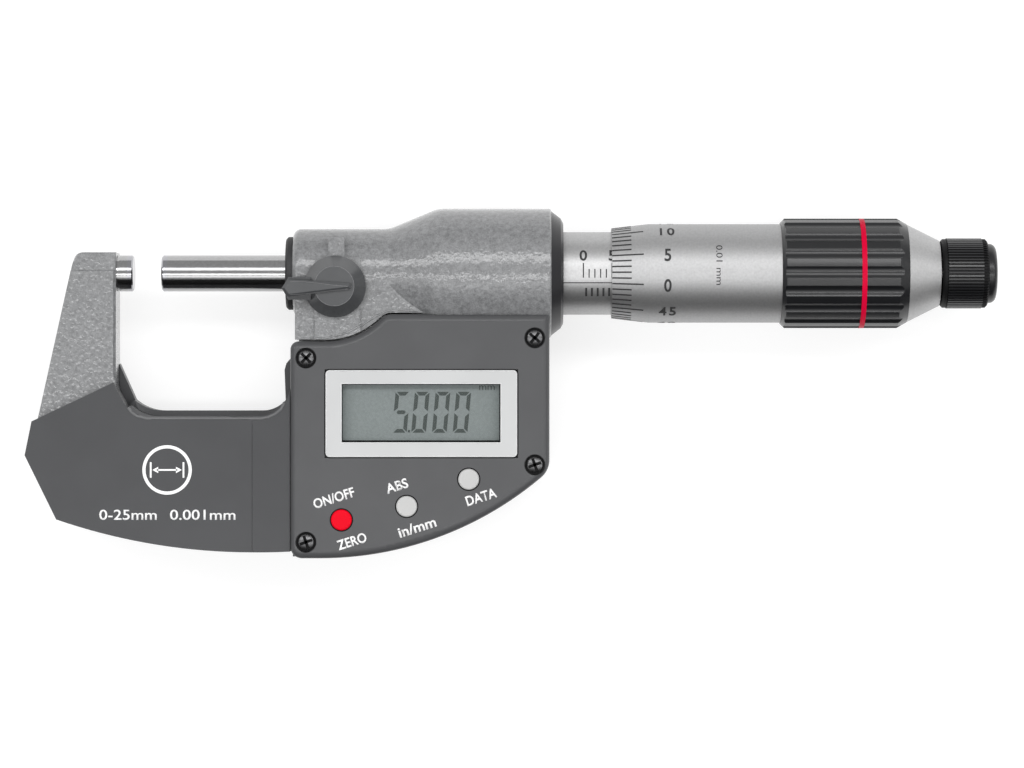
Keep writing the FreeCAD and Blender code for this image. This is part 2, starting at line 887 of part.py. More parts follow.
def hollow_frame(body):
    # Bores on the spindle's axis: the anvil, the seal, the guide and the encoder's chamber
    anvil_bore = f"({spindle_radius} - glue_gap)"
    turned(body, ring(f"{arm_face} - anvil_shank", f"{arm_face} + 1", "0", anvil_bore), removed=True)
    turned(body, ring("head_left - 1", "head_left + seal_spigot", "0", "seal_spigot_dia / 2"), removed=True)
    turned(body, ring("head_left", "chamber_start + 1", "0", f"{spindle_radius} + run_gap"), removed=True)
    turned(body, ring("chamber_start", "head_right + 1", "0", "chamber_dia / 2"), removed=True)
    # The clamp's way in from the front
    cut(body, "lock_pad_bottom - run_gap", "boss_face + 1",
        ("lock_x", "-lock_drop", "lock_pad_dia / 2 + run_gap"))
    # Room for the board, and the openings from it to the battery and to the encoder
    cut(body, "pocket_floor", half_thick + " + 1", grown(board_corners(), "board_gap"))
    cut(body, f"-{half_thick} - 1", "pocket_floor + 1",
        box_corners("battery_middle - 6.5", "battery_middle + 6.5",
                    "-battery_drop - 2.5", "-battery_drop + 2.5"))
    cut(body, "-1.4", "1.4",
        box_corners("chamber_start + 0.2", "chamber_start + 3.4", "-board_drop - 3", "-chamber_dia / 2 + 1"))
    # Recesses that lighten the bow under its covers
    recess = [
        ("-9.0", "-grip_left_drop"),
        ("throat_left", "-throat_drop - cover_wall - 2.4"),
        ("throat_right", "-throat_drop - cover_wall - 2.4"),
        ("throat_right + 2", "-belly_drop + cover_wall + 3"),
        ("-6.0", "-belly_drop + cover_wall + 6"),
        ("-13.0", "-grip_left_drop - 4"),
    ]
    cut(body, f"{half_thick} - bow_recess", half_thick + " + 1", recess)
    cut(body, f"-{half_thick} - 1", f"bow_recess - {half_thick}", recess)
    # Screw holes, the four of the display unit tapped from both sides
    cut(body, f"-{half_thick} - 1", half_thick + " + 1", *circles(housing_screw_places(), screw_radius))
    cut(body, f"-{half_thick} - 1", half_thick + " + 1", *circles(bow_screw_places(), screw_way))


def make_anvil():
    # The pin stops short of the tip, and is necked where it leaves the arm
    body = part_body("anvil")
    face = "(-tip_length)"
    shank = f"({spindle_radius} - glue_gap * 2)"
    turned(body, [
        (f"{arm_face} - anvil_shank + glue_gap", "0"),
        (f"{arm_face} - anvil_shank + glue_gap", shank),
        (f"{arm_face} + 0.45", shank + " - 0.1"),
        (f"{arm_face} + 0.45", spindle_radius),
        (face, spindle_radius),
        (face, "0"),
    ])
    tip = part_body("anvil_tip")
    turned(tip, tip_profile("-tip_length", "0"))


def tip_profile(back, face):
    # A disc with a small bevel round its measuring face
    inward = 1 if value(f"{face} - ({back})") > 0 else -1
    return [
        (back, "0"),
        (back, spindle_radius),
        (f"{face} - {inward} * tip_bevel", spindle_radius),
        (face, f"{spindle_radius} - tip_bevel"),
        (face, "0"),
    ]


# Covers


def make_front_grip_plate():
    body = part_body("front_grip_plate")
    layer(body, "0", "ramp_top", grip_corners())
    slice_off(body, [
        ("-grip_left - 5", "grip_face"),
        ("ramp_start", "grip_face"),
        ("housing_left", "ramp_top"),
        ("housing_left + 1", "ramp_top + 5"),
        ("-grip_left - 5", "ramp_top + 5"),
    ])
    throat_line = value("-throat_drop + throat_right_round + 0.5")
    dress(body, "Chamfer", "grip_edge_depth", level_at("grip_face", lambda edge: (
        edge.BoundBox.YMax < throat_line and edge.BoundBox.YMin > throat_line - 8 and edge.BoundBox.XMax > 0
    )), "grip_edge")
    # A fine crease where the ramp up to the display unit begins
    cut(body, "grip_face - crease_depth", "ramp_top",
        box_corners("ramp_start - crease_width / 2", "ramp_start + crease_width / 2",
                    "-belly_drop - 1", "-throat_drop - grip_edge"))
    cut(body, "-1", half_thick + " + cover_gap", grown(casting_corners(), "cover_gap"))
    cut(body, half_thick, "grip_face - 0.8", *circles(bow_screw_places(), screw_radius))


def make_display_housing():
    body = part_body("display_housing")
    layer(body, "0", "housing_face", housing_corners())
    round_housing_corners(body)
    dress(body, "Fillet", "shelf_corner", upright_at(("housing_left", "-shelf_drop")))
    dress(body, "Fillet", "small_corner", upright_at(("housing_left", "-housing_bottom")))
    dress(body, "Fillet", "housing_edge", level_at("housing_face"))
    clear_the_head(body)
    cut(body, "-1", half_thick + " + cover_gap", grown(casting_corners(), "cover_gap"))
    gasket_top = f"({half_thick} + gasket_thick + cover_gap)"
    cut(body, "-1", gasket_top, grown(board_corners(), "board_gap + gasket_width + glue_gap"))
    cut(body, "-1", inner_face, grown(board_corners(), "board_gap"))
    cut(body, inner_face + " - 1", "housing_face + 1",
        grown(box_corners("bezel_left", "bezel_right", "-bezel_low", "-bezel_high"), "cover_gap * 3"))
    key_holes = circles(key_places(), "key_dia / 2 + key_gap")
    cut(body, inner_face + " - 1", "housing_face + 1", *key_holes)
    cut(body, "-1", "housing_face", *circles(housing_screw_places(), screw_way))
    cut(body, "housing_face - screw_head - screw_gap", "housing_face + 1",
        *circles(housing_screw_places(), head_way))


def make_back_cover():
    body = part_body("back_cover")
    layer(body, "-axis_height", "0", back_corners())
    round_housing_corners(body)
    dress(body, "Fillet", "shelf_corner", upright_at(("housing_left", "-shelf_drop")))
    slice_off(body, [
        ("-grip_left - 5", "-bow_back"),
        ("ramp_start - 2", "-bow_back"),
        ("housing_left - 0.5", "-axis_height"),
        ("housing_left - 0.5", "-axis_height - 5"),
        ("-grip_left - 5", "-axis_height - 5"),
    ])
    right_wall, low_line = value("housing_right - 0.1"), value("-housing_bottom + side_corner")
    dress(body, "Chamfer", "back_edge", level_at("-axis_height", lambda edge: (
        edge.BoundBox.XMax > right_wall and edge.BoundBox.XLength < 5 or edge.BoundBox.YMin < low_line
    )))
    floor_line, leg_line = value("back_step - throat_drop"), value("bump_left + 0.25")
    dress(body, "Chamfer", "back_step", level_at("0", lambda edge: (
        edge.BoundBox.YMin > floor_line - 0.01 and edge.BoundBox.YMax < floor_line + 6
        and edge.BoundBox.XMax < leg_line and edge.BoundBox.XMin > -0.1
    )), "back_rim_depth")
    clear_the_head(body)
    cut(body, f"-{half_thick} - cover_gap", "1", grown(casting_corners(), "cover_gap"))
    # The rim is lower beside the arm, where the throat's corner begins
    cut(body, "-2.6", "1", [
        (arm_face, "-back_neck_drop + 1"),
        ("1", "-back_neck_drop + 1"),
        ("1", "-22.2"),
        ("0", "-22.2"),
        ("-1.2", "-23.6"),
        (arm_face, "-23.6"),
    ])
    # Over the leg block the cover stays below the casting
    cut(body, "-leg_half - cover_gap", "1", [
        ("housing_left - 1", "1"),
        (f"{barrel_start} + 2", "1"),
        (f"{barrel_start} + 2", "-housing_top - 1.4"),
        (shelf_x(), "-housing_top - 0.1", "shelf_round", right_side),
        ("shelf_end", "-shelf_drop - 0.1"),
        ("housing_left - 1", "-shelf_drop - 0.1"),
    ])
    hollow_back(body)


def hollow_back(body):
    skin = "(housing_wall - axis_height)"
    floor = f"(-{half_thick} - cover_gap)"
    battery = ("battery_middle", "-battery_drop")
    cut(body, skin, floor, grown(board_corners(), "board_gap"))
    # A round well for the cell stands in the hollow, open to the cap
    layer(body, skin, floor, (*battery, f"{cap_radius} + cap_gap + lug_reach + 1.2"))
    cut(body, "-axis_height - 1", f"{battery_top} + 0.9", (*battery, "battery_dia / 2 + battery_gap"))
    cut(body, "-axis_height - 1", cap_inner, (*battery, f"{cap_radius} + cap_gap"))
    cut(body, f"{cap_inner} - 1", f"{cap_inner} + seal_thick", (*battery, f"{cap_radius} - seal_inset"))
    lug_way = f"({cap_radius} + lug_reach + cap_gap)"
    cut(body, f"{cap_inner} - lug_thick - cap_gap", cap_inner, (*battery, lug_way))
    notch = "(lug_width / 2 + cap_gap * 2)"
    cut(body, "-axis_height - 1", cap_inner,
        box_corners(f"battery_middle - {notch}", f"battery_middle + {notch}",
                    f"-battery_drop - {lug_way}", f"-battery_drop + {lug_way}"))
    cut(body, f"{battery_top}", "0",
        box_corners("battery_middle - 6", "battery_middle + 6", "-battery_drop - 2", "-battery_drop + 2"))
    # Screws
    for places, face in ((housing_screw_places(), "axis_height"), (bow_screw_places(), "bow_back")):
        cut(body, "-axis_height - 1", "0", *circles(places, screw_way))
        cut(body, "-axis_height - 1", f"screw_head + screw_gap - {face}", *circles(places, head_way))
    # Data port in the right-hand wall
    cut(body, "-port_base", "-port_top",
        box_corners("board_right - 6", "housing_right + 1", "-port_low", "-port_high"))


# Screws


def make_housing_screws():
    body = part_body("housing_screws")
    head_base = "(housing_face - screw_head)"
    layer(body, "screw_end", head_base, *circles(housing_screw_places(), f"{screw_radius} - glue_gap"))
    layer(body, head_base, "housing_face - screw_gap", *circles(housing_screw_places(), head_radius))
    cross_slots(body, housing_screw_places(), "housing_face - screw_gap", 1)


def make_back_cover_screws():
    body = part_body("back_cover_screws")
    places = housing_screw_places()
    head_base = "(screw_head - axis_height)"
    layer(body, head_base, "-screw_end", *circles(places, f"{screw_radius} - glue_gap"))
    layer(body, "screw_gap - axis_height", head_base, *circles(places, head_radius))
    bow_places = bow_screw_places()
    bow_base = "(screw_head - bow_back)"
    layer(body, bow_base, "grip_face - 1.2", *circles(bow_places, f"{screw_radius} - glue_gap"))
    layer(body, "screw_gap - bow_back", bow_base, *circles(bow_places, head_radius))
    cross_slots(body, places, "screw_gap - axis_height", -1)
    cross_slots(body, bow_places, "screw_gap - bow_back", -1)


def cross_slots(body, places, face, way):
    # A cross recess in each head
    low, high = sorted((f"{face} - {way} * cross_depth", f"{face} + {way}"), key=value)
    for half_x, half_y in (("cross_length / 2", "cross_width / 2"), ("cross_width / 2", "cross_length / 2")):
        cut(body, low, high, *[
            box_corners(f"{x} - {half_x}", f"{x} + {half_x}", f"{y} - {half_y}", f"{y} + {half_y}")
            for x, y in places
        ])


# Display, board and keys


def key_places():
    # In from the board's ends, and up from the bottom edge
    zero_x, abs_x = "(board_left + zero_key_in)", "(board_left + abs_key_in)"
    data_x = "(board_right - data_key_in)"
    return [
        (zero_x, bottom_y(zero_x) + " + zero_key_rise"),
        (abs_x, bottom_y(abs_x) + " + abs_key_rise"),
        (data_x, bottom_y(data_x) + " + data_key_rise"),
    ]


def make_display():
    bezel_box = box_corners("bezel_left", "bezel_right", "-bezel_low", "-bezel_high")
    window_box = box_corners("window_left", "window_right", "-window_low", "-window_high")
    front = "(housing_face + bezel_proud)"
    flange_base = f"({inner_face} - cover_gap - flange_thick)"
    lip_base = f"({front} - bezel_lip)"
    bezel = part_body("bezel")
    layer(bezel, flange_base, front, bezel_box)
    corners = [(x, y) for x in ("bezel_left", "bezel_right") for y in ("-bezel_low", "-bezel_high")]
    dress(bezel, "Fillet", "bezel_corner", upright_at(*corners))
    layer(bezel, flange_base, f"{inner_face} - cover_gap", grown(bezel_box, "bezel_flange"))
    cut(bezel, lip_base + " - 0.1", front + " + 1", window_box)
    cut(bezel, flange_base + " - 1", lip_base, grown(window_box, "window_overlap + glue_gap"))
    window = part_body("lcd_window")
    window_base = f"({lip_base} - glue_gap - window_thick)"
    layer(window, window_base, f"{lip_base} - glue_gap", grown(window_box, "window_overlap"))
    panel = part_body("lcd_panel")
    panel_top = f"({window_base} - panel_gap)"
    panel_base = f"({panel_top} - panel_thick)"
    layer(panel, panel_base, panel_top, grown(window_box, "window_overlap - panel_gap"))
    strips = part_body("zebra_strips")
    rows = [
        box_corners("window_left", "window_right", "-window_high - 0.4", "-window_high + 0.6"),
        box_corners("window_left", "window_right", "-window_low - 0.6", "-window_low + 0.4"),
    ]
    layer(strips, f"{board_top} + glue_gap", f"{panel_base} - glue_gap", *rows)


def make_circuit_board():
    body = part_body("circuit_board")
    layer(body, "board_bottom", board_top, board_corners())
    low, high = "-battery_drop - chip_width / 2", "-battery_drop + chip_width / 2"
    chip = box_corners("battery_middle - chip_in - chip_length", "battery_middle - chip_in", low, high)
    crystal = box_corners("battery_middle + chip_in", "battery_middle + chip_in + crystal_length", low, high)
    layer(body, "board_bottom - chip_thick", "board_bottom", chip, crystal)
    body = part_body("encoder_ribbon")
    x_left, x_right = "(chamber_start + 0.6)", "(chamber_start + 0.6 + ribbon_width)"
    y_low = "(-board_drop - 2)"
    layer(body, "-ribbon_thick / 2", "ribbon_thick / 2",
          box_corners(x_left, x_right, y_low, "-chamber_dia / 2 - 0.1"))
    layer(body, "ribbon_thick / 2", "board_bottom - glue_gap",
          box_corners(x_left, x_right, y_low, f"{y_low} + ribbon_thick"))
    body = part_body("keypad_mat")
    (zero_x, zero_y), (abs_x, abs_y), (data_x, data_y) = key_places()
    mat = [
        ("board_left + 0.4", zero_y + " + mat_rim"),
        (abs_x + " - mat_rim", abs_y + " + mat_rim"),
        (data_x + " - mat_rim", data_y + " + mat_rim"),
        (data_x + " + mat_rim", data_y + " + mat_rim"),
        (data_x + " + mat_rim", data_y + " - mat_rim"),
        (abs_x + " + mat_rim", abs_y + " - mat_rim"),
        (zero_x + " + mat_rim", zero_y + " - mat_rim"),
        ("board_left + 0.4", zero_y + " - mat_rim"),
    ]
    mat_top = f"({board_top} + glue_gap + mat_thick)"
    layer(body, f"{board_top} + glue_gap", mat_top, mat)
    dome_top = f"({inner_face} - cover_gap - key_flange_thick - key_travel - 0.1)"
    layer(body, mat_top, dome_top, *circles(key_places(), "dome_dia / 2"))


def make_keys():
    flange_top = f"({inner_face} - cover_gap)"
    for label, spot in zip(("zero_button", "abs_button", "data_button"), key_places()):
        body = part_body(label)
        layer(body, f"{flange_top} - key_flange_thick", flange_top, (*spot, "key_dia / 2 + key_flange"))
        layer(body, flange_top, "housing_face + key_proud", (*spot, "key_dia / 2"))
        dress(body, "Fillet", "key_proud", level_at("housing_face + key_proud"))


def make_gasket():
    body = part_body("housing_gasket")
    low = f"({half_thick} + glue_gap)"
    layer(body, low, f"{half_thick} + gasket_thick",
          grown(board_corners(), "board_gap + gasket_width"), grown(board_corners(), "board_gap + glue_gap"))


# Battery and data port


def make_battery():
    middle = ("battery_middle", "-battery_drop")
    body = part_body("battery")
    layer(body, battery_base, battery_top, (*middle, "battery_dia / 2"))
    dress(body, "Fillet", "battery_round", level_at(battery_base))
    body = part_body("battery_contacts")
    for side in (-1, 1):
        outer, inner = f"{side} * contact_reach", f"{side} * (contact_reach - contact_width)"
        left, right = sorted((outer, inner), key=value)
        layer(body, f"{battery_top} + glue_gap", f"{battery_top} + contact_thick",
              box_corners(f"battery_middle + {left}", f"battery_middle + {right}",
                          "-battery_drop - contact_length / 2", "-battery_drop + contact_length / 2"))
        blade = f"battery_middle + {left} + blade_inset"
        layer(body, f"{battery_top} + contact_thick - 0.2", "board_bottom - glue_gap",
              box_corners(blade, f"{blade} + blade_width", "-battery_drop - 1", "-battery_drop + 1"))


def make_battery_cap():
    middle = ("battery_middle", "-battery_drop")
    body = part_body("battery_cap")
    layer(body, cap_outer, cap_inner, (*middle, cap_radius))
    dress(body, "Chamfer", "cap_bevel", level_at(cap_outer))
    round_end = f"({cap_radius} + lug_reach)"
    reach = f"sqrt({round_end} ^ 2 - lug_width ^ 2 / 4)"
    high, low = "-battery_drop + lug_width / 2", "-battery_drop - lug_width / 2"
    layer(body, f"{cap_inner} - lug_thick", f"{cap_inner} - glue_gap", [
        (f"battery_middle - {reach}", high),
        (f"battery_middle + {reach}", high, round_end, right_side),
        (f"battery_middle + {reach}", low),
        (f"battery_middle - {reach}", low, round_end, right_side),
    ])
    cut(body, cap_outer + " - 1", cap_outer + " + slot_depth",
        box_corners("battery_middle - slot_length / 2", "battery_middle + slot_length / 2",
                    "-battery_drop - slot_width / 2", "-battery_drop + slot_width / 2"))
    seal = part_body("battery_seal")
    layer(seal, f"{cap_inner} + glue_gap", f"{cap_inner} + seal_thick - cap_gap",
          (*middle, f"{cap_radius} - seal_inset - 0.1"), (*middle, "battery_dia / 2 + battery_gap + 0.2"))


def make_data_port():
    face = "(housing_right - connector_inset)"
    low, high = "(glue_gap * 10 - port_low)", "(-port_high - glue_gap * 10)"
    body = part_body("data_connector")
    layer(body, "-port_base + glue_gap", "-port_top - glue_gap",
          box_corners("board_right - connector_length * 2", face, low, high))
    cut(body, "-port_base + port_wall", "-port_top - port_wall",
        box_corners(f"{face} - port_depth", f"{face} + 1", f"{low} + port_wall", f"{high} - port_wall"))
    body = part_body("data_port_plug")
    layer(body, "-port_base + glue_gap", "-port_top - glue_gap",
          box_corners("housing_right - 0.1 - plug_thick", "housing_right - 0.1",
                      "-port_low + glue_gap", "-port_high - glue_gap"))


# Spindle group: everything that turns and slides together


def make_spindle():
    body = part_body("spindle")
    start = "(reading + tip_length)"
    thread_from = "(reading + thread_start)"
    thread_to = f"({thread_from} + thread_length)"
    taper_from = f"({thimble_end} - thimble_wall)"
    turned(body, [
        (start, "0"),
        (start, spindle_radius),
        (thread_from, spindle_radius),
        (thread_from, "thread_dia / 2"),
        (thread_to, "thread_dia / 2"),
        (thread_to, "taper_large / 2 - glue_gap"),
        (taper_from, "taper_large / 2 - glue_gap"),
        (thimble_end, "taper_small / 2 - glue_gap"),
        (thimble_end, "0"),
    ])
    way = "(reading + keyway_start)"
    cut(body, f"-{spindle_radius} - 1", f"keyway_depth - {spindle_radius}",
        box_corners(way, f"{way} + keyway_length", "-keyway_width / 2", "keyway_width / 2"))
    turned(body, ring(f"{thimble_end} - ratchet_depth", f"{thimble_end} + 1", "0", screw_bore), removed=True)
    tip = part_body("spindle_tip")
    turned(tip, tip_profile("reading + tip_length", "reading"))


def make_thimble():
    body = part_body("thimble")
    wall = f"({thimble_end} - thimble_wall)"
    turned(body, [
        (thimble_front, thimble_bore),
        (thimble_front, f"{thimble_bore} + thimble_edge"),
        (f"{thimble_front} + thimble_bevel", thimble_radius),
        (f"{grip_front} - glue_gap", thimble_radius),
        (f"{grip_front} - glue_gap", grip_seat),
        (thimble_end, grip_seat),
        (thimble_end, "taper_small / 2"),
        (wall, "taper_large / 2"),
        (wall, thimble_bore),
    ])


def make_thimble_grip():
    body = part_body("thimble_grip")
    seat = f"({grip_seat} + glue_gap)"
    turned(body, [
        (grip_front, seat),
        (grip_front, f"{grip_radius} - grip_lead"),
        (f"{grip_front} + grip_lead", grip_radius),
        (f"{grip_end} - grip_tail", grip_radius),
        (grip_end, f"{grip_radius} - grip_tail_drop"),
        (grip_end, seat),
    ])
    # Hollow flutes, which run out through the bevel at the tail
    flute_round = "(flute_width ^ 2 / flute_depth / 8 + flute_depth / 2)"
    flute = ("0", f"{grip_radius} - flute_depth + {flute_round}", flute_round)
    groove = cut_along(body, f"{grip_front} + flute_margin", f"{grip_end} + 1", flute)
    repeat_round_axis(body, groove, "flute_count")
    band = f"({grip_front} + band_start)"
    turned(body, ring(band, f"{band} + band_width", f"{grip_radius} - band_depth", f"{grip_radius} + 1"),
           removed=True)
    body = part_body("red_band")
    turned(body, ring(f"{band} + glue_gap", f"{band} + band_width - glue_gap",
                      f"{grip_radius} - band_depth + glue_gap", f"{grip_radius} + glue_gap"))


def make_tail_cone():
    body = part_body("tail_cone")
    start = f"({thimble_end} + glue_gap)"
    turned(body, [
        (start, screw_bore),
        (start, grip_seat),
        (f"{grip_end} + glue_gap", grip_seat),
        (f"{grip_end} + glue_gap", f"{grip_seat} + cone_step"),
        (cone_end, "cone_end_dia / 2"),
        (cone_end, screw_bore),
    ])
    # Notches for the clutch's teeth, hidden inside the knob's mouth
    tooth = [
        (f"{cone_end} - tooth_depth", "0"),
        (f"{cone_end} + 0.1", "tooth_half + tooth_gap"),
        (f"{cone_end} + 0.1", "-tooth_half - tooth_gap"),
    ]
    notch = cut(body, "tooth_inner_dia / 2", "knob_bore_dia / 2", tooth)
    repeat_round_axis(body, notch, "tooth_count")


# Ratchet stop


def make_ratchet():
    knob = part_body("ratchet_knob")
    outer = "(knob_dia / 2)"
    turned(knob, [
        (knob_start, "knob_bore_dia / 2"),
        (knob_start, f"{outer} - knob_bevel"),
        (f"{knob_start} + knob_bevel", outer),
        (f"{knob_end} - knob_bevel", outer),
        (knob_end, f"{outer} - knob_bevel"),
        (knob_end, "knob_bore_dia / 2"),
        (web_end, "knob_bore_dia / 2"),
        (web_end, "ratchet_screw_dia / 2 + hub_gap"),
        (web_start, "ratchet_screw_dia / 2 + hub_gap"),
        (web_start, "knob_bore_dia / 2"),
    ])
    groove = box_corners(f"{knob_start} + knob_collar", knob_end, "-ridge_groove / 2", "ridge_groove / 2")
    first = cut(knob, f"{outer} - ridge_depth", f"{outer} + 1", groove)
    repeat_round_axis(knob, first, "ridge_count")
    screw = part_body("ratchet_screw")
    turned(screw, [
        (f"{thimble_end} - ratchet_depth + 0.2", "0"),
        (f"{thimble_end} - ratchet_depth + 0.2", "ratchet_screw_dia / 2"),
        (f"{web_end} + 0.1", "ratchet_screw_dia / 2"),
        (f"{web_end} + 0.1", "ratchet_head_dia / 2"),
        (f"{web_end} + 0.1 + ratchet_head", "ratchet_head_dia / 2"),
        (f"{web_end} + 0.1 + ratchet_head", "0"),
    ])
    cap = part_body("ratchet_end_cap")
    face = f"({knob_end} + glue_gap)"
    turned(cap, [
        (f"{face} - cap_end_spigot", "0"),
        (f"{face} - cap_end_spigot", "knob_bore_dia / 2 - glue_gap"),
        (face, "knob_bore_dia / 2 - glue_gap"),
        (face, "cap_end_dia / 2"),
        (f"{face} + cap_end_length", "cap_end_dia / 2"),
        (f"{face} + cap_end_length", "0"),
    ])
    dress(cap, "Fillet", "cap_end_round", hoop_at(f"{face} + cap_end_length", "cap_end_dia / 2"))
    make_ratchet_clutch()


def make_ratchet_clutch():
    # A toothed washer that the spring presses towards the cone's teeth
    body = part_body("ratchet_clutch")
    tips = f"({cone_end} + 0.05)"
    base = f"({tips} + tooth_depth)"
    bore = "(ratchet_screw_dia / 2 + hub_gap)"
    rim = "(knob_bore_dia / 2 - glue_gap)"
    turned(body, ring(base, f"{base} + clutch_thick", bore, rim))
    tooth = layer(body, "tooth_inner_dia / 2", f"{rim} - tooth_gap", [
        (tips, "0"), (f"{base} + 0.1", "tooth_half"), (f"{base} + 0.1", "-tooth_half"),
    ])
    repeat_round_axis(body, tooth, "tooth_count")
    spring = part_body("ratchet_spring")
    start, end = f"({base} + clutch_thick + glue_gap)", f"({web_start} - glue_gap)"
    inner, outer = f"({bore} + spring_inset)", f"({rim} - spring_inset)"
    waist = f"(({start} + {end}) / 2)"
    # Two dished leaves that meet at the screw
    turned(spring, [
        (start, outer), (f"{start} + spring_leaf", outer), (waist, f"{inner} + spring_leaf * 1.3"),
        (f"{end} - spring_leaf", outer), (end, outer), (f"{waist} + spring_leaf / 2", inner),
        (f"{waist} - spring_leaf / 2", inner),
    ])


# Encoder, sleeves and nut


def make_encoder():
    stator = part_body("encoder_stator")
    board = "(chamber_start + glue_gap)"
    turned(stator, ring(board, f"{board} + stator_thick", "hub_dia / 2 - 0.8", "chamber_dia / 2 - glue_gap"))
    rotor = part_body("encoder_rotor")
    turned(rotor, ring(hub_start, f"{hub_start} + rotor_thick",
                       "hub_dia / 2 + glue_gap", "chamber_dia / 2 - rotor_gap"))
    hub = part_body("rotor_hub")
    bore = f"({spindle_radius} + hub_gap)"
    turned(hub, [
        (hub_start, bore),
        (hub_start, "hub_dia / 2"),
        (f"{hub_start} + rotor_thick + glue_gap", "hub_dia / 2"),
        (f"{hub_start} + rotor_thick + glue_gap", "hub_dia / 2 + hub_rim"),
        (f"{hub_start} + rotor_thick + hub_rim_end", "hub_dia / 2 + hub_rim"),
        (f"{hub_start} + rotor_thick + hub_rim_end", "hub_dia / 2"),
        (hub_end, "hub_dia / 2"),
        (hub_end, bore),
    ])
    key_x = f"({hub_start} + rotor_thick + key_in)"
    pin = "(key_pin_dia / 2)"
    cut(hub, "-hub_dia", "0", (key_x, "0", f"{pin} + glue_gap"))
    key = part_body("rotor_key")
    layer(key, "0.2 - hub_dia / 2", f"keyway_depth - {spindle_radius} - hub_gap", (key_x, "0", pin))
    spring = part_body("thrust_spring")
    start = f"({hub_end} + 0.15)"
    end = f"({start} + spring_length)"
    turned(spring, [
        (start, "hub_dia / 2 - 0.2"), (f"{start} + spring_thick", "hub_dia / 2 - 0.2"),
        (end, "hub_dia / 2 + 2"), (f"{end} - spring_thick", "hub_dia / 2 + 2"),
    ])


def make_sleeves():
    body = part_body("inner_sleeve")
    nut_end = "(nut_start + nut_length)"
    turned(body, [
        ("flange_start", "inner_bore_dia / 2"),
        ("flange_start", "chamber_dia / 2 - glue_gap"),
        (flange_end, "chamber_dia / 2 - glue_gap"),
        (flange_end, "inner_sleeve_dia / 2"),
        ("nut_step", "inner_sleeve_dia / 2"),
        ("nut_step", "nut_dia / 2"),
        (nut_end, "nut_dia / 2"),
        (nut_end, nut_bore),
        ("nut_start", nut_bore),
        ("nut_start", "inner_bore_dia / 2"),
    ])
    slot = cut(body, "0", "inner_sleeve_dia",
               box_corners("nut_start + nut_slot_in", f"{nut_end} + 1", "-nut_slot / 2", "nut_slot / 2"))
    repeat_round_axis(body, slot, "nut_slot_count")
    outer = part_body("main_sleeve")
    turned(outer, ring(f"{sleeve_start} + glue_gap", f"{sleeve_start} + sleeve_length",
                       "inner_sleeve_dia / 2 + glue_gap", "sleeve_dia / 2"))
    adjuster = part_body("adjusting_nut")
    turned(adjuster, ring("nut_step + 0.5", "nut_step + 0.5 + adjusting_length",
                          "nut_dia / 2 + glue_gap", "adjusting_dia / 2"))


def make_end_ring():
    body = part_body("end_ring")
    inner = "(inner_sleeve_dia / 2 + glue_gap)"
    turned(body, [
        (f"{flange_end} + glue_gap", inner),
        (f"{flange_end} + glue_gap", "chamber_dia / 2 - glue_gap"),
        ("head_right + glue_gap", "chamber_dia / 2 - glue_gap"),
        ("head_right + glue_gap", "end_ring_dia / 2"),
        (f"{sleeve_start} - end_ring_lip", "end_ring_dia / 2 - end_ring_slope"),
        (sleeve_start, "end_ring_face_dia / 2"),
        (sleeve_start, inner),
    ])
    seal = part_body("spindle_seal")
    bore = f"({spindle_radius} + hub_gap)"
    turned(seal, [
        ("head_left - glue_gap - seal_width", bore),
        ("head_left - glue_gap - seal_width", "seal_dia / 2 - seal_bevel"),
        ("head_left - glue_gap - seal_width + seal_bevel", "seal_dia / 2"),
        ("head_left - glue_gap", "seal_dia / 2"),
        ("head_left - glue_gap", "seal_spigot_dia / 2 - glue_gap"),
        ("head_left + seal_spigot - glue_gap", "seal_spigot_dia / 2 - glue_gap"),
        ("head_left + seal_spigot - glue_gap", bore),
    ])


# Clamp


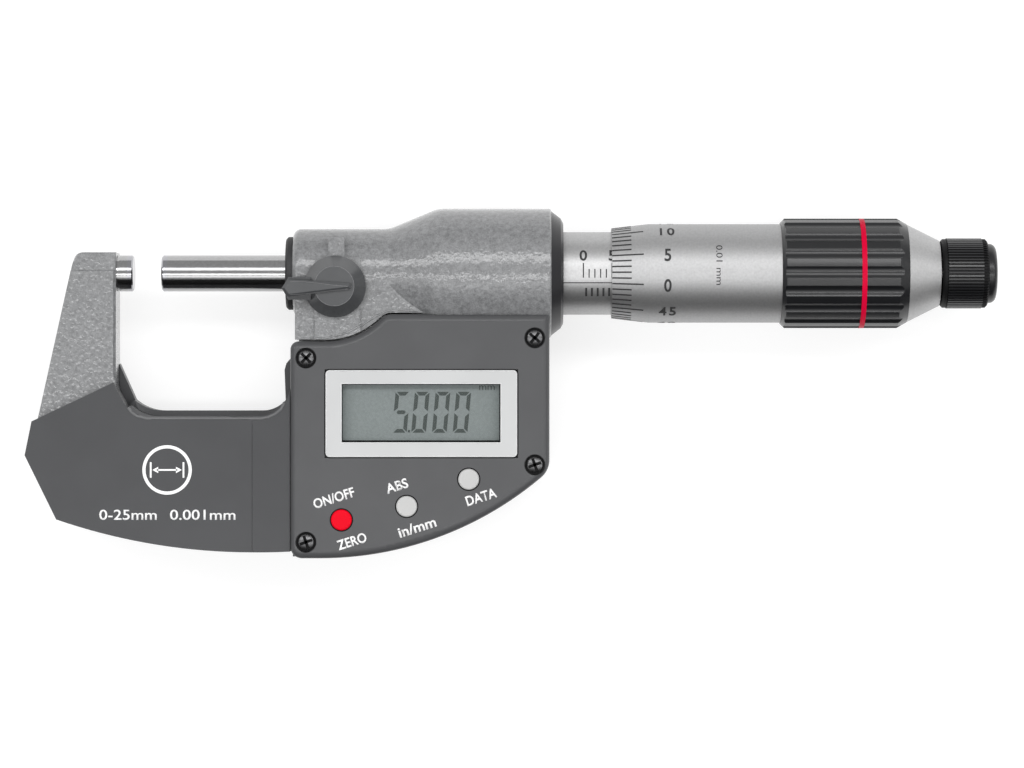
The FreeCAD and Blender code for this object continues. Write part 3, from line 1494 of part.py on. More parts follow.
def make_lock():
    base = "(boss_face + lock_gap)"
    top = f"({base} + lever_height)"
    lever = part_body("lock_lever")
    spot = ("lock_x", "-lock_drop")
    layer(lever, base, f"{base} + lever_rim", (*spot, "lever_dia / 2"))
    cone = lever.newObject("PartDesign::AdditiveCone", "lever_cone")
    bind(cone, "Radius1", "lever_dia / 2")
    bind(cone, "Radius2", "lever_top_dia / 2")
    bind(cone, "Height", "lever_height - lever_rim")
    cone.AttachmentSupport = [(lever.Origin.OriginFeatures[3], "")]
    cone.MapMode = "FlatFace"
    bind(cone, "AttachmentOffset.Base.x", "lock_x")
    bind(cone, "AttachmentOffset.Base.y", "-lock_drop")
    bind(cone, "AttachmentOffset.Base.z", f"{base} + lever_rim")
    document.recompute()
    tip_x, tip_y = "(lock_x - lever_tip)", "(-lock_drop - lever_tip_drop)"
    wide = "(lever_width / 2)"
    tail_x = "(lock_x + lever_tail)"
    block_end, block_half = f"({tip_x} + lever_block_reach)", "(lever_block_width / 2)"
    layer(lever, f"{base} + lever_lift", f"{base} + lever_block_height", [
        (tip_x, tip_y),
        (f"{tip_x} + lever_point", f"{tip_y} + {block_half}"),
        (block_end, f"{tip_y} + {block_half}"),
        (block_end, f"{tip_y} - {block_half}"),
        (f"{tip_x} + lever_point", f"{tip_y} - {block_half}"),
    ])
    layer(lever, f"{base} + lever_lift", f"{top} + ridge_height", [
        (f"{tip_x} + glue_gap", tip_y),
        (f"{tip_x} + lever_point", f"{tip_y} + {wide}"),
        (tail_x, "-lock_drop + lever_tail_width / 2"),
        (tail_x, "-lock_drop - lever_tail_width / 2"),
        (f"{tip_x} + lever_point", f"{tip_y} - {wide}"),
    ])
    dress(lever, "Chamfer", "lever_tail_width * 0.45", level_at(f"{top} + ridge_height"))
    cut(lever, f"{base} - 1", f"{base} + 2.5", (*spot, "lock_screw_dia / 2 + glue_gap"))
    screw = part_body("lock_screw")
    pad_top = "lock_pad_top"
    layer(screw, f"{pad_top} + 0.1", f"{base} + 2.4", (*spot, "lock_screw_dia / 2"))
    pad = part_body("lock_pad")
    layer(pad, "lock_pad_bottom", pad_top, (*spot, "lock_pad_dia / 2"))
    turned(pad, ring("lock_x - lock_pad_dia", "lock_x + lock_pad_dia", "0", f"{spindle_radius} + hub_gap"),
           removed=True)


make_frame()
make_anvil()
make_front_grip_plate()
make_display_housing()
make_back_cover()
make_housing_screws()
make_back_cover_screws()
make_display()
make_circuit_board()
make_keys()
make_gasket()
make_battery()
make_battery_cap()
make_data_port()
make_spindle()
make_thimble()
make_thimble_grip()
make_tail_cone()
make_ratchet()
make_encoder()
make_sleeves()
make_end_ring()
make_lock()

document.recompute()
for item in document.Objects:
    if {"Invalid", "Error"} & set(item.State):
        raise RuntimeError(f"{item.Label} is {item.State}")
for body in nodes:
    previous = 0.0
    for feature in body.Group:
        if not feature.isDerivedFrom("PartDesign::Feature"):
            continue
        volume = feature.Shape.Volume
        removes = any(word in feature.TypeId for word in ("Pocket", "Groove"))
        if removes and volume >= previous or not removes and volume == previous:
            raise RuntimeError(f"{feature.Label} changed nothing")
        previous = volume
    if body.Shape.isNull() or not body.Shape.isValid():
        raise RuntimeError(f"{body.Label} has no valid shape")

os.makedirs("parts", exist_ok=True)
for body in nodes:
    body.Shape.exportStep(f"parts/{body.Label}.step")
    print(body.Label, len(body.Shape.Solids), round(body.Shape.Volume, 2))
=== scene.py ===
import math

import bmesh
import bpy
from mathutils import Matrix, Vector


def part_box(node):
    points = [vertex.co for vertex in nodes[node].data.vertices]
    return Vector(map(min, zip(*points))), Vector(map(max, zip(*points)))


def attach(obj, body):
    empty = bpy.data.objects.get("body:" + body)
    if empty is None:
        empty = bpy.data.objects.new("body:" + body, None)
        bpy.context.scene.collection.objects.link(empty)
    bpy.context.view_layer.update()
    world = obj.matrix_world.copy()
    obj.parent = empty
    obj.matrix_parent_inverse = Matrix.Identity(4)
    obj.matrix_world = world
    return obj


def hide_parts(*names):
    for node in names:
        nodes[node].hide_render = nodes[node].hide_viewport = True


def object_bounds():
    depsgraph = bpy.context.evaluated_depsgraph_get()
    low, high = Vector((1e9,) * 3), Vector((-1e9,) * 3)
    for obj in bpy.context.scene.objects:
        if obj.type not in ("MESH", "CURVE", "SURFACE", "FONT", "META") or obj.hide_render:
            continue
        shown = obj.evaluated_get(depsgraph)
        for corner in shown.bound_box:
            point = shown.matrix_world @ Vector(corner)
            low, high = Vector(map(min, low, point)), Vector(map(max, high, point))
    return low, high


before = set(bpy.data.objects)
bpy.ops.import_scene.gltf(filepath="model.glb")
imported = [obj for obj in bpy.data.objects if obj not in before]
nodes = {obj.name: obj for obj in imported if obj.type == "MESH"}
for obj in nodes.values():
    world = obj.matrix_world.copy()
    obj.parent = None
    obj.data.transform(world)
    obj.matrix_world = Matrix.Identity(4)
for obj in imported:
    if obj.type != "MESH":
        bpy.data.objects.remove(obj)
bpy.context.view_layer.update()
mm = 0.001  # sizes below are in millimetres, and Blender's are in metres
print("frame loaded:", len(nodes), "nodes")


# Small helpers

def addNode(tree, kind, values=None, **settings):
    # a value that is a socket is linked, anything else is set on the input
    node = tree.nodes.new(kind)
    for name, setting in settings.items():
        setattr(node, name, setting)
    for key, value in (values or {}).items():
        if isinstance(value, bpy.types.NodeSocket):
            tree.links.new(value, node.inputs[key])
        else:
            node.inputs[key].default_value = value
    return node


def startMaterial(name):
    material = bpy.data.materials.new(name)
    material.use_nodes = True
    material.node_tree.nodes.clear()
    return material, material.node_tree


def endMaterial(tree, shader):
    addNode(tree, "ShaderNodeOutputMaterial", {"Surface": shader.outputs[0]})


def objectPoint(tree):
    return addNode(tree, "ShaderNodeTexCoord").outputs["Object"]


def noise(tree, point, scale, detail, roughness=0.5):
    return addNode(tree, "ShaderNodeTexNoise", {
        "Vector": point, "Scale": scale, "Detail": detail, "Roughness": roughness}).outputs["Fac"]


def ramp(tree, factor, stops):
    node = addNode(tree, "ShaderNodeValToRGB", {"Fac": factor})
    elements = node.color_ramp.elements
    while len(elements) < len(stops):
        elements.new(0.5)
    for element, (place, colour) in zip(elements, stops):
        element.position = place
        element.color = (*colour, 1)
    return node.outputs["Color"]


def grey(level):
    return (level, level, level)


def spread(tree, factor, low, high):
    # a noise's value, which seldom leaves 0.3 to 0.7, laid over a range
    return addNode(tree, "ShaderNodeMapRange", {
        "Value": factor, "From Min": 0.3, "From Max": 0.7, "To Min": low, "To Max": high}).outputs["Result"]


def bumpFrom(tree, height, distance, before=None):
    values = {"Height": height, "Distance": distance * mm, "Strength": 1.0}
    if before is not None:
        values["Normal"] = before
    return addNode(tree, "ShaderNodeBump", values).outputs["Normal"]


def addObject(name, data):
    holder = bpy.data.objects.new(name, data)
    bpy.context.collection.objects.link(holder)
    return holder


def meshObject(name, points, faces, material):
    mesh = bpy.data.meshes.new(name)
    mesh.from_pydata([Vector(point) * mm for point in points], [], faces)
    mesh.materials.append(material)
    mesh.validate()
    return addObject(name, mesh)


def smoothByAngle(piece, degrees):
    # smooth shading, with edges sharper than the angle kept sharp
    mesh = piece.data
    shape = bmesh.new()
    shape.from_mesh(mesh)
    bmesh.ops.remove_doubles(shape, verts=shape.verts, dist=1e-7)
    bmesh.ops.recalc_face_normals(shape, faces=shape.faces)
    for face in shape.faces:
        face.smooth = True
    for edge in shape.edges:
        if edge.is_manifold and edge.calc_face_angle() > math.radians(degrees):
            edge.smooth = False
    shape.to_mesh(mesh)
    shape.free()
    return piece


def joinPieces(name, pieces):
    # one object from several, with each one's place and material kept
    shape = bmesh.new()
    materials = []
    for piece in pieces:
        own = piece.data.materials[0]
        if own not in materials:
            materials.append(own)
        before = len(shape.faces)
        shape.from_mesh(piece.data)
        shape.faces.ensure_lookup_table()
        for face in shape.faces[before:]:
            face.material_index = materials.index(own)
    mesh = bpy.data.meshes.new(name)
    shape.to_mesh(mesh)
    shape.free()
    for material in materials:
        mesh.materials.append(material)
    for piece in pieces:
        bpy.data.objects.remove(piece)
    return addObject(name, mesh)


# Finishes

def makeHammeredPaint():
    look = {
        "dark": (0.112, 0.114, 0.117), "light": (0.238, 0.242, 0.247), "cell": 1450, "grain": 4400, "mottle": 1250,
        "cellHeight": 0.043, "grainHeight": 0.007, "wander": 1100, "wanderReach": 0.0009, "coatRoughness": 0.11,
    }
    material, tree = startMaterial("hammeredPaint")
    point = objectPoint(tree)
    wander = addNode(tree, "ShaderNodeTexNoise", {
        "Vector": point, "Scale": look["wander"], "Detail": 2.0}).outputs["Color"]
    bent = addNode(tree, "ShaderNodeVectorMath", {0: wander, 1: (look["wanderReach"],) * 3},
                   operation="MULTIPLY").outputs[0]
    moved = addNode(tree, "ShaderNodeVectorMath", {0: point, 1: bent}, operation="ADD").outputs[0]
    cells = addNode(tree, "ShaderNodeTexVoronoi", {"Vector": moved, "Scale": look["cell"], "Smoothness": 0.6},
                    feature="SMOOTH_F1").outputs["Distance"]
    grain = noise(tree, point, look["grain"], 3.0, 0.6)
    mottle = noise(tree, moved, look["mottle"], 2.0, 0.6)
    toned = addNode(tree, "ShaderNodeMix", {"Factor": 0.5, 2: mottle, 3: grain}).outputs[0]
    colour = ramp(tree, toned, [(0.34, look["dark"]), (0.66, look["light"])])
    normal = bumpFrom(tree, cells, look["cellHeight"])
    normal = bumpFrom(tree, grain, look["grainHeight"], normal)
    shader = addNode(tree, "ShaderNodeBsdfPrincipled", {
        "Base Color": colour, "Roughness": spread(tree, grain, 0.4, 0.55),
        "Coat Weight": 1.0, "Coat Roughness": look["coatRoughness"], "Normal": normal, "Coat Normal": normal})
    endMaterial(tree, shader)
    return material


def makePlastic(name, colour, grainScale, grainHeight, roughness, change=0.08, coat=0.0, shine=0.5):
    # moulded plastic with a spark-eroded grain, slight changes of tone and a worn gloss
    material, tree = startMaterial(name)
    point = objectPoint(tree)
    grain = noise(tree, point, grainScale, 3.0, 0.6)
    cloud = noise(tree, point, 120, 2.0)
    low, high = [tuple(c * k for c in colour) for k in (1 - change, 1 + change)]
    base = ramp(tree, cloud, [(0.35, low), (0.65, high)])
    normal = bumpFrom(tree, grain, grainHeight)
    shader = addNode(tree, "ShaderNodeBsdfPrincipled", {
        "Base Color": base, "Roughness": spread(tree, grain, roughness - 0.06, roughness + 0.06),
        "Specular IOR Level": shine, "Coat Weight": coat, "Coat Roughness": 0.2,
        "Normal": normal, "Coat Normal": normal})
    endMaterial(tree, shader)
    return material


def makeTurnedMetal(name, colour, roughness, grooveScale, grooveHeight, speck=0.0):
    # metal turned or ground round the X axis: the grooves only change along it
    material, tree = startMaterial(name)
    point = objectPoint(tree)
    parts = addNode(tree, "ShaderNodeSeparateXYZ", {"Vector": point})
    rings = addNode(tree, "ShaderNodeTexNoise", {"W": parts.outputs["X"], "Scale": grooveScale, "Detail": 3.0},
                    noise_dimensions="1D").outputs["Fac"]
    film = noise(tree, point, 2600, 2.0)
    low, high = tuple(c * (0.93 - speck) for c in colour), tuple(min(c * 1.05, 1) for c in colour)
    base = ramp(tree, film, [(0.3, low), (0.7, high)])
    normal = bumpFrom(tree, rings, grooveHeight)
    normal = bumpFrom(tree, film, grooveHeight * 2.2, normal)
    shader = addNode(tree, "ShaderNodeBsdfPrincipled", {
        "Base Color": base, "Metallic": 1.0, "Roughness": spread(tree, rings, roughness - 0.05, roughness + 0.06),
        "Normal": normal})
    endMaterial(tree, shader)
    return material


def makePrint(name, colour, roughness=0.45, gloss=0.5):
    # printing ink or filled engraving, with slightly uneven cover
    material, tree = startMaterial(name)
    cover = noise(tree, objectPoint(tree), 9000, 2.0)
    low, high = tuple(c * 0.86 for c in colour), tuple(min(c * 1.06, 1) for c in colour)
    base = ramp(tree, cover, [(0.35, low), (0.6, high)])
    shader = addNode(tree, "ShaderNodeBsdfPrincipled", {
        "Base Color": base, "Roughness": spread(tree, cover, roughness - 0.05, roughness + 0.08),
        "Specular IOR Level": gloss})
    endMaterial(tree, shader)
    return material


def makePane():
    # a flat clear pane: light goes straight through, and its face mirrors by Fresnel
    material, tree = startMaterial("clearPane")
    smear = noise(tree, objectPoint(tree), 340, 3.0)
    gloss = addNode(tree, "ShaderNodeBsdfGlossy", {
        "Color": (1, 1, 1, 1), "Roughness": spread(tree, smear, 0.03, 0.09)})
    through = addNode(tree, "ShaderNodeBsdfTransparent", {"Color": (0.97, 0.985, 0.98, 1)})
    mirror = addNode(tree, "ShaderNodeFresnel", {"IOR": 1.45})
    treated = addNode(tree, "ShaderNodeMath", {0: mirror.outputs[0], 1: 0.1}, operation="MULTIPLY")
    mixed = addNode(tree, "ShaderNodeMixShader", {
        0: treated.outputs[0], 1: through.outputs[0], 2: gloss.outputs[0]})
    endMaterial(tree, mixed)
    return material


def makeDisplayGlass():
    # the liquid crystal's grey-green ground, with a faint mottle of the reflector behind it
    material, tree = startMaterial("displayGround")
    point = objectPoint(tree)
    mottle = noise(tree, point, 2400, 2.0)
    wide = noise(tree, point, 60, 1.0)
    tone = addNode(tree, "ShaderNodeMath", {0: mottle, 1: spread(tree, wide, 0.85, 1.15)},
                   operation="MULTIPLY").outputs[0]
    base = ramp(tree, tone, [(0.2, (0.186, 0.198, 0.2)), (0.8, (0.23, 0.242, 0.245))])
    shader = addNode(tree, "ShaderNodeBsdfPrincipled", {
        "Base Color": base, "Roughness": spread(tree, mottle, 0.5, 0.6), "Specular IOR Level": 0.12})
    endMaterial(tree, shader)
    return material


hammeredPaint = makeHammeredPaint()
# moulded: name, colour, scale and height of the grain, roughness, change of tone, coat, shine
caseSkin = makePlastic("caseSkin", (0.066, 0.067, 0.07), 7000, 0.004, 0.5, 0.04, 0.3, 0.25)
coverSkin = makePlastic("coverSkin", (0.046, 0.047, 0.05), 7000, 0.004, 0.5, 0.04, 0.3, 0.25)
satinBlack = makePlastic("satinBlack", (0.013, 0.013, 0.015), 5200, 0.005, 0.36, 0.08, 0.3, 0.3)
gripBlack = makePlastic("gripBlack", (0.0075, 0.0078, 0.009), 6000, 0.004, 0.34, 0.1, 0.48, 0.33)
# the knob's body between the ridges, darker and without coat: painted shade in the grooves and at its ends
knobGrooveShade = makePlastic("knobGrooveShade", (0.004, 0.004, 0.0045), 6000, 0.004, 0.5, 0.1, 0.0, 0.15)
knobBlack = makePlastic("knobBlack", (0.009, 0.0093, 0.0105), 6000, 0.004, 0.34, 0.1, 0.55, 0.35)
endBlack = makePlastic("endBlack", (0.0085, 0.0087, 0.0098), 6000, 0.004, 0.38, 0.1, 0.36, 0.3)
# paler than the cover, for the throat's upper edge: painted highlight
throatHighlightPlastic = makePlastic("throatHighlightPlastic", (0.12, 0.121, 0.124), 7000, 0.004, 0.5, 0.04, 0.3, 0.25)
# paler than the lever, for lines on its disc's rim and handle: painted highlight
leverHighlightGrey = makePlastic("leverHighlightGrey", (0.14, 0.142, 0.147), 5200, 0.003, 0.4, 0.08, 0.3, 0.35)
# paler than the bezel, for lines along its edges: painted highlight
bezelHighlightPale = makePlastic("bezelHighlightPale", (0.62, 0.622, 0.625), 5200, 0.002, 0.34, 0.02, 0.2, 0.3)
leverBlack = makePlastic("leverBlack", (0.055, 0.057, 0.06), 5200, 0.006, 0.4, 0.08, 0.5, 0.35)
paleFrame = makePlastic("paleFrame", (0.485, 0.49, 0.492), 5200, 0.003, 0.34, 0.02, 0.2, 0.3)
redKey = makePlastic("redKey", (0.69, 0.0015, 0.014), 4200, 0.003, 0.3, 0.03, 0.0, 0.06)
whiteKey = makePlastic("whiteKey", (0.47, 0.47, 0.466), 4200, 0.003, 0.3, 0.03, 0.2, 0.2)
redRing = makePlastic("redRing", (0.56, 0.001, 0.032), 4200, 0.004, 0.36, 0.03, 0.0, 0.06)
sealRubber = makePlastic("sealRubber", (0.018, 0.018, 0.019), 6400, 0.012, 0.6)
boardGreen = makePlastic("boardGreen", (0.04, 0.17, 0.075), 3000, 0.006, 0.35)
connectorBlack = makePlastic("connectorBlack", (0.03, 0.03, 0.031), 5200, 0.010, 0.45)
amberFilm = makePlastic("amberFilm", (0.48, 0.25, 0.05), 4000, 0.004, 0.25)
# a near-black that stands in for shade in gaps, holes and recesses: painted shade
paintedShadeBlack = makePlastic("paintedShadeBlack", (0.006, 0.006, 0.0065), 5200, 0.004, 0.6, 0.1, 0.0, 0.1)
# turned: name, colour, roughness, scale and height of the grooves, specks
satinChrome = makeTurnedMetal("satinChrome", (0.43, 0.43, 0.433), 0.52, 9000, 0.0008)
sleeveChrome = makeTurnedMetal("sleeveChrome", (0.48, 0.48, 0.482), 0.47, 9000, 0.0008)
coneChrome = makeTurnedMetal("coneChrome", (0.5, 0.5, 0.502), 0.5, 9000, 0.0008)
groundSteel = makeTurnedMetal("groundSteel", (0.41, 0.41, 0.412), 0.13, 14000, 0.0005)
hardMetal = makeTurnedMetal("hardMetal", (0.42, 0.42, 0.44), 0.12, 16000, 0.0003)
turnedBrass = makeTurnedMetal("turnedBrass", (0.66, 0.48, 0.22), 0.28, 8000, 0.0010)
springSteel = makeTurnedMetal("springSteel", (0.36, 0.37, 0.40), 0.30, 7000, 0.0010)
platedSteel = makeTurnedMetal("platedSteel", (0.55, 0.55, 0.56), 0.26, 5200, 0.0012, 0.05)
headSteel = makeTurnedMetal("headSteel", (0.13, 0.13, 0.133), 0.3, 5200, 0.0016, 0.05)
displayGround = makeDisplayGlass()
clearPane = makePane()
whiteInk = makePrint("whiteInk", (0.86, 0.86, 0.86))
filledEngraving = makePrint("filledEngraving", (0.018, 0.018, 0.019), 0.6)
segmentInk = makePrint("segmentInk", (0.07, 0.077, 0.075), 0.6, 0.12)

nodeFinishes = [
    (hammeredPaint, ["frame"]),
    (caseSkin, ["display_housing"]),
    (coverSkin, ["front_grip_plate", "back_cover"]),
    (satinBlack, ["end_ring", "battery_cap"]),
    (leverBlack, ["lock_lever"]),
    (gripBlack, ["thimble_grip"]),
    (knobGrooveShade, ["ratchet_knob"]),
    (endBlack, ["ratchet_end_cap"]),
    (paleFrame, ["bezel"]),
    (redKey, ["zero_button"]),
    (whiteKey, ["abs_button", "data_button"]),
    (redRing, ["red_band"]),
    (sealRubber, ["spindle_seal", "zebra_strips", "keypad_mat", "housing_gasket", "data_port_plug", "battery_seal"]),
    (boardGreen, ["circuit_board", "encoder_stator", "encoder_rotor"]),
    (connectorBlack, ["data_connector"]),
    (amberFilm, ["encoder_ribbon"]),
    (satinChrome, ["thimble"]),
    (sleeveChrome, ["main_sleeve"]),
    (coneChrome, ["tail_cone"]),
    (groundSteel, ["spindle", "anvil", "inner_sleeve", "rotor_key", "ratchet_clutch"]),
    (hardMetal, ["spindle_tip", "anvil_tip"]),
    (turnedBrass, ["adjusting_nut", "lock_pad", "rotor_hub", "battery_contacts"]),
    (springSteel, ["thrust_spring", "ratchet_spring"]),
    (platedSteel, ["lock_screw", "ratchet_screw", "battery"]),
    (headSteel, ["housing_screws", "back_cover_screws"]),
    (displayGround, ["lcd_panel"]),
    (clearPane, ["lcd_window"]),
]
for finish, names in nodeFinishes:
    for name in names:
        nodes[name].data.materials.clear()
        nodes[name].data.materials.append(finish)
print("finishes set")


# Scales, engraved and filled

scale = {
    # lengths in millimetres, angles in degrees from the line on top towards -Y
    "zeroAt": 78.7, "indexAngle": 14.4, "sleeveRadius": 7.25, "sleeveStart": 75.26, "sleeveEnd": 110.7,
    "longAngles": (-13.0, 7.4), "shortAngles": (-4.6, 7.4), "lowAngles": (21.8, 34.6), "highWidth": 0.2,
    "lowWidth": 0.35, "lineWidth": 0.17, "lineSink": 0.02, "depth": 0.05, "digitHeight": 2.05, "digitBold": 0.22,
    "digitAngle": -24.2,
}
thimbleScale = {
    "edge": 83.7, "edgeRadius": 7.85, "bevel": 6.5, "radius": 8.65, "start": 0.03, "shortLength": 3.35,
    "longLength": 5.45, "divisions": 50, "labelEvery": 5, "lineWidth": 0.26, "depth": 0.075, "digitHeight": 2.35,
    "digitPlace": 9.65, "digitAngle": 1.2, "digitBold": 0.2, "digitNarrow": 0.86, "digitSpacing": 1.25,
}
divisionValue = {"text": "0.01 mm", "height": 1.1, "width": 7.2, "x": 102.3, "angle": -9.0}


def newGeometryTree(name, inputs):
    # Spots are the points that the tree is run on, and an input not named here is a float
    kinds = {"Spots": "Geometry", "Count": "Int", "Long Every": "Int"}
    tree = bpy.data.node_groups.new(name, "GeometryNodeTree")
    for label in inputs:
        tree.interface.new_socket(name=label, in_out="INPUT", socket_type="NodeSocket" + kinds.get(label, "Float"))
    tree.interface.new_socket(name="Geometry", in_out="OUTPUT", socket_type="NodeSocketGeometry")
    return tree, addNode(tree, "NodeGroupInput").outputs


def meshFromTree(name, makeTree, values, material, spots=(), edges=()):
    # runs the tree on points, each with its turn, or on a path of them, and keeps the result as a plain mesh
    base = bpy.data.meshes.new(name + "Maker")
    base.from_pydata([Vector(place) * mm for place, _ in spots], edges, [])
    if spots:
        turns = base.attributes.new("turn", "FLOAT_VECTOR", "POINT")
        for entry, (_, turn) in zip(turns.data, spots):
            entry.vector = turn
    holder = addObject(name + "Maker", base)
    modifier = holder.modifiers.new("shape", "NODES")
    tree = makeTree(material)
    modifier.node_group = tree
    for item in tree.interface.items_tree:
        if item.in_out == "INPUT" and item.name in values:
            modifier[item.identifier] = values[item.name]
    depsgraph = bpy.context.evaluated_depsgraph_get()
    mesh = bpy.data.meshes.new_from_object(holder.evaluated_get(depsgraph))
    mesh.name = name
    holder.modifiers.remove(modifier)
    bpy.data.objects.remove(holder)
    mesh.materials.clear()
    mesh.materials.append(material)
    for polygon in mesh.polygons:
        polygon.material_index = 0
    return addObject(name, mesh)


def finishTree(tree, geometry, material):
    realized = addNode(tree, "GeometryNodeRealizeInstances", {"Geometry": geometry})
    coloured = addNode(tree, "GeometryNodeSetMaterial", {"Geometry": realized.outputs[0], "Material": material})
    addNode(tree, "NodeGroupOutput", {"Geometry": coloured.outputs[0]})
    return tree


def calculate(tree, operation, first, second):
    return addNode(tree, "ShaderNodeMath", {0: first, 1: second}, operation=operation).outputs[0]


def oblong(tree, width, height):
    return addNode(tree, "GeometryNodeCurvePrimitiveQuadrilateral", {"Width": width, "Height": height}).outputs[0]


def circle(tree, resolution, radius):
    return addNode(tree, "GeometryNodeCurvePrimitiveCircle", {"Resolution": resolution, "Radius": radius}).outputs[0]


def sweep(tree, curve, section):
    return addNode(tree, "GeometryNodeCurveToMesh", {
        "Curve": curve, "Profile Curve": section, "Fill Caps": True}).outputs[0]


def tickParts(tree, given):
    # a tick's section and number, and which numbers are long ticks and which short
    section = oblong(tree, given["Width"], given["Depth"])
    index = addNode(tree, "GeometryNodeInputIndex").outputs[0]
    isLong = addNode(tree, "FunctionNodeCompare", {
        "A": calculate(tree, "MODULO", index, given["Long Every"]), "B": 0.5}, operation="LESS_THAN").outputs[0]
    isShort = addNode(tree, "FunctionNodeBooleanMath", {0: isLong}, operation="NOT").outputs[0]
    return section, index, (("Long", isLong), ("Short", isShort))


def endTicks(tree, ticks, places, material, rotation=(0, 0, 0)):
    both = addNode(tree, "GeometryNodeJoinGeometry")
    for tick, chosen in ticks:
        placed = addNode(tree, "GeometryNodeInstanceOnPoints", {
            "Points": places, "Selection": chosen, "Instance": tick, "Rotation": rotation}).outputs[0]
        tree.links.new(placed, both.inputs[0])
    return finishTree(tree, both.outputs[0], material)


def ringTickTree(material):
    # straight ticks round an axis, on a cone: a short one at each division, a long one at each few
    tree, given = newGeometryTree("ringTicks", [
        "Count", "Long Every", "First Angle", "Start X", "Start Radius", "Slope", "Short Length", "Long Length",
        "Width", "Depth"])
    section, index, kinds = tickParts(tree, given)
    startPoint = addNode(tree, "ShaderNodeCombineXYZ", {"X": given["Start X"], "Z": given["Start Radius"]}).outputs[0]
    places = addNode(tree, "GeometryNodePoints", {"Count": given["Count"]}).outputs[0]
    step = calculate(tree, "DIVIDE", 2 * math.pi, given["Count"])
    turn = calculate(tree, "ADD", given["First Angle"], calculate(tree, "MULTIPLY", index, step))
    rotation = addNode(tree, "ShaderNodeCombineXYZ", {"X": turn}).outputs[0]
    ticks = []
    for kind, chosen in kinds:
        length = given[kind + " Length"]
        rise = calculate(tree, "MULTIPLY", length, given["Slope"])
        endPoint = addNode(tree, "ShaderNodeCombineXYZ", {
            "X": calculate(tree, "ADD", given["Start X"], length),
            "Z": calculate(tree, "ADD", given["Start Radius"], rise)}).outputs[0]
        line = addNode(tree, "GeometryNodeCurvePrimitiveLine", {"Start": startPoint, "End": endPoint}).outputs[0]
        ticks.append((sweep(tree, line, section), chosen))
    return endTicks(tree, ticks, places, material, rotation)


def rowTickTree(material):
    # ticks that curve round a sleeve, in a row along its axis
    tree, given = newGeometryTree("rowTicks", [
        "Count", "Long Every", "Start X", "Pitch", "Radius", "Short From", "Short Sweep", "Long From", "Long Sweep",
        "Width", "Depth"])
    section, index, kinds = tickParts(tree, given)
    alongX = calculate(tree, "ADD", given["Start X"], calculate(tree, "MULTIPLY", index, given["Pitch"]))
    at = addNode(tree, "ShaderNodeCombineXYZ", {"X": alongX}).outputs[0]
    places = addNode(tree, "GeometryNodePoints", {"Count": given["Count"], "Position": at}).outputs[0]
    ticks = []
    for kind, chosen in kinds:
        arc = addNode(tree, "GeometryNodeCurveArc", {
            "Resolution": 12, "Radius": given["Radius"], "Start Angle": given[kind + " From"],
            "Sweep Angle": given[kind + " Sweep"]}).outputs[0]
        upright = addNode(tree, "GeometryNodeTransform", {
            "Geometry": arc, "Rotation": (math.pi / 2, 0, math.pi / 2)}).outputs[0]
        ticks.append((sweep(tree, upright, section), chosen))
    return endTicks(tree, ticks, places, material)


def thicken(shape, thick):
    # a flat shape pulled up into a closed one
    pulled = bmesh.ops.extrude_face_region(shape, geom=shape.faces[:])
    for element in pulled["geom"]:
        if isinstance(element, bmesh.types.BMVert):
            element.co.z += thick
    bmesh.ops.recalc_face_normals(shape, faces=shape.faces)


def letters(text, height, width=None, thick=0.02, bold=0.0, narrow=1.0, spacing=1.0):
    # lettering as a closed mesh, its middle at the origin and its reading way along X
    curve = bpy.data.curves.new("letters", "FONT")
    curve.body = text
    curve.size = 10 * mm
    curve.offset = bold * mm
    curve.space_character = spacing
    curve.resolution_u = 4
    holder = addObject("letters", curve)
    depsgraph = bpy.context.evaluated_depsgraph_get()
    mesh = bpy.data.meshes.new_from_object(holder.evaluated_get(depsgraph))
    bpy.data.objects.remove(holder)
    shape = bmesh.new()
    shape.from_mesh(mesh)
    bpy.data.meshes.remove(mesh)
    bmesh.ops.remove_doubles(shape, verts=shape.verts, dist=1e-7)
    xs, ys = [v.co.x for v in shape.verts], [v.co.y for v in shape.verts]
    wide, tall = max(xs) - min(xs), max(ys) - min(ys)
    middle = Vector(((max(xs) + min(xs)) / 2, (max(ys) + min(ys)) / 2, 0))
    upward = height / tall
    sideways = width / wide if width else upward * narrow
    for vertex in shape.verts:
        vertex.co = Vector(((vertex.co.x - middle.x) * sideways, (vertex.co.y - middle.y) * upward, 0))
    thicken(shape, thick)
    return shape


def shapeObject(name, shape, material):
    # the shape is in millimetres
    for vertex in shape.verts:
        vertex.co *= mm
    mesh = bpy.data.meshes.new(name)
    shape.to_mesh(mesh)
    shape.free()
    mesh.materials.append(material)
    return addObject(name, mesh)


def turnFlat(shape, degrees):
    bmesh.ops.rotate(shape, verts=shape.verts, cent=(0, 0, 0), matrix=Matrix.Rotation(math.radians(degrees), 3, "Z"))


def wrapRound(shape, radius, x, angle):
    # cuts lettering into strips and bends it round the X axis, its middle at that angle
    strip, lift = 0.22, 0.008
    low, high = min(v.co.y for v in shape.verts), max(v.co.y for v in shape.verts)
    cut = low + strip
    while cut < high:
        geometry = shape.verts[:] + shape.edges[:] + shape.faces[:]
        bmesh.ops.bisect_plane(shape, geom=geometry, plane_co=(0, cut, 0), plane_no=(0, 1, 0))
        cut += strip
    for vertex in shape.verts:
        across = math.radians(angle) - vertex.co.y / radius
        out = radius + vertex.co.z + lift
        vertex.co = Vector((x + vertex.co.x, -out * math.sin(across), out * math.cos(across)))


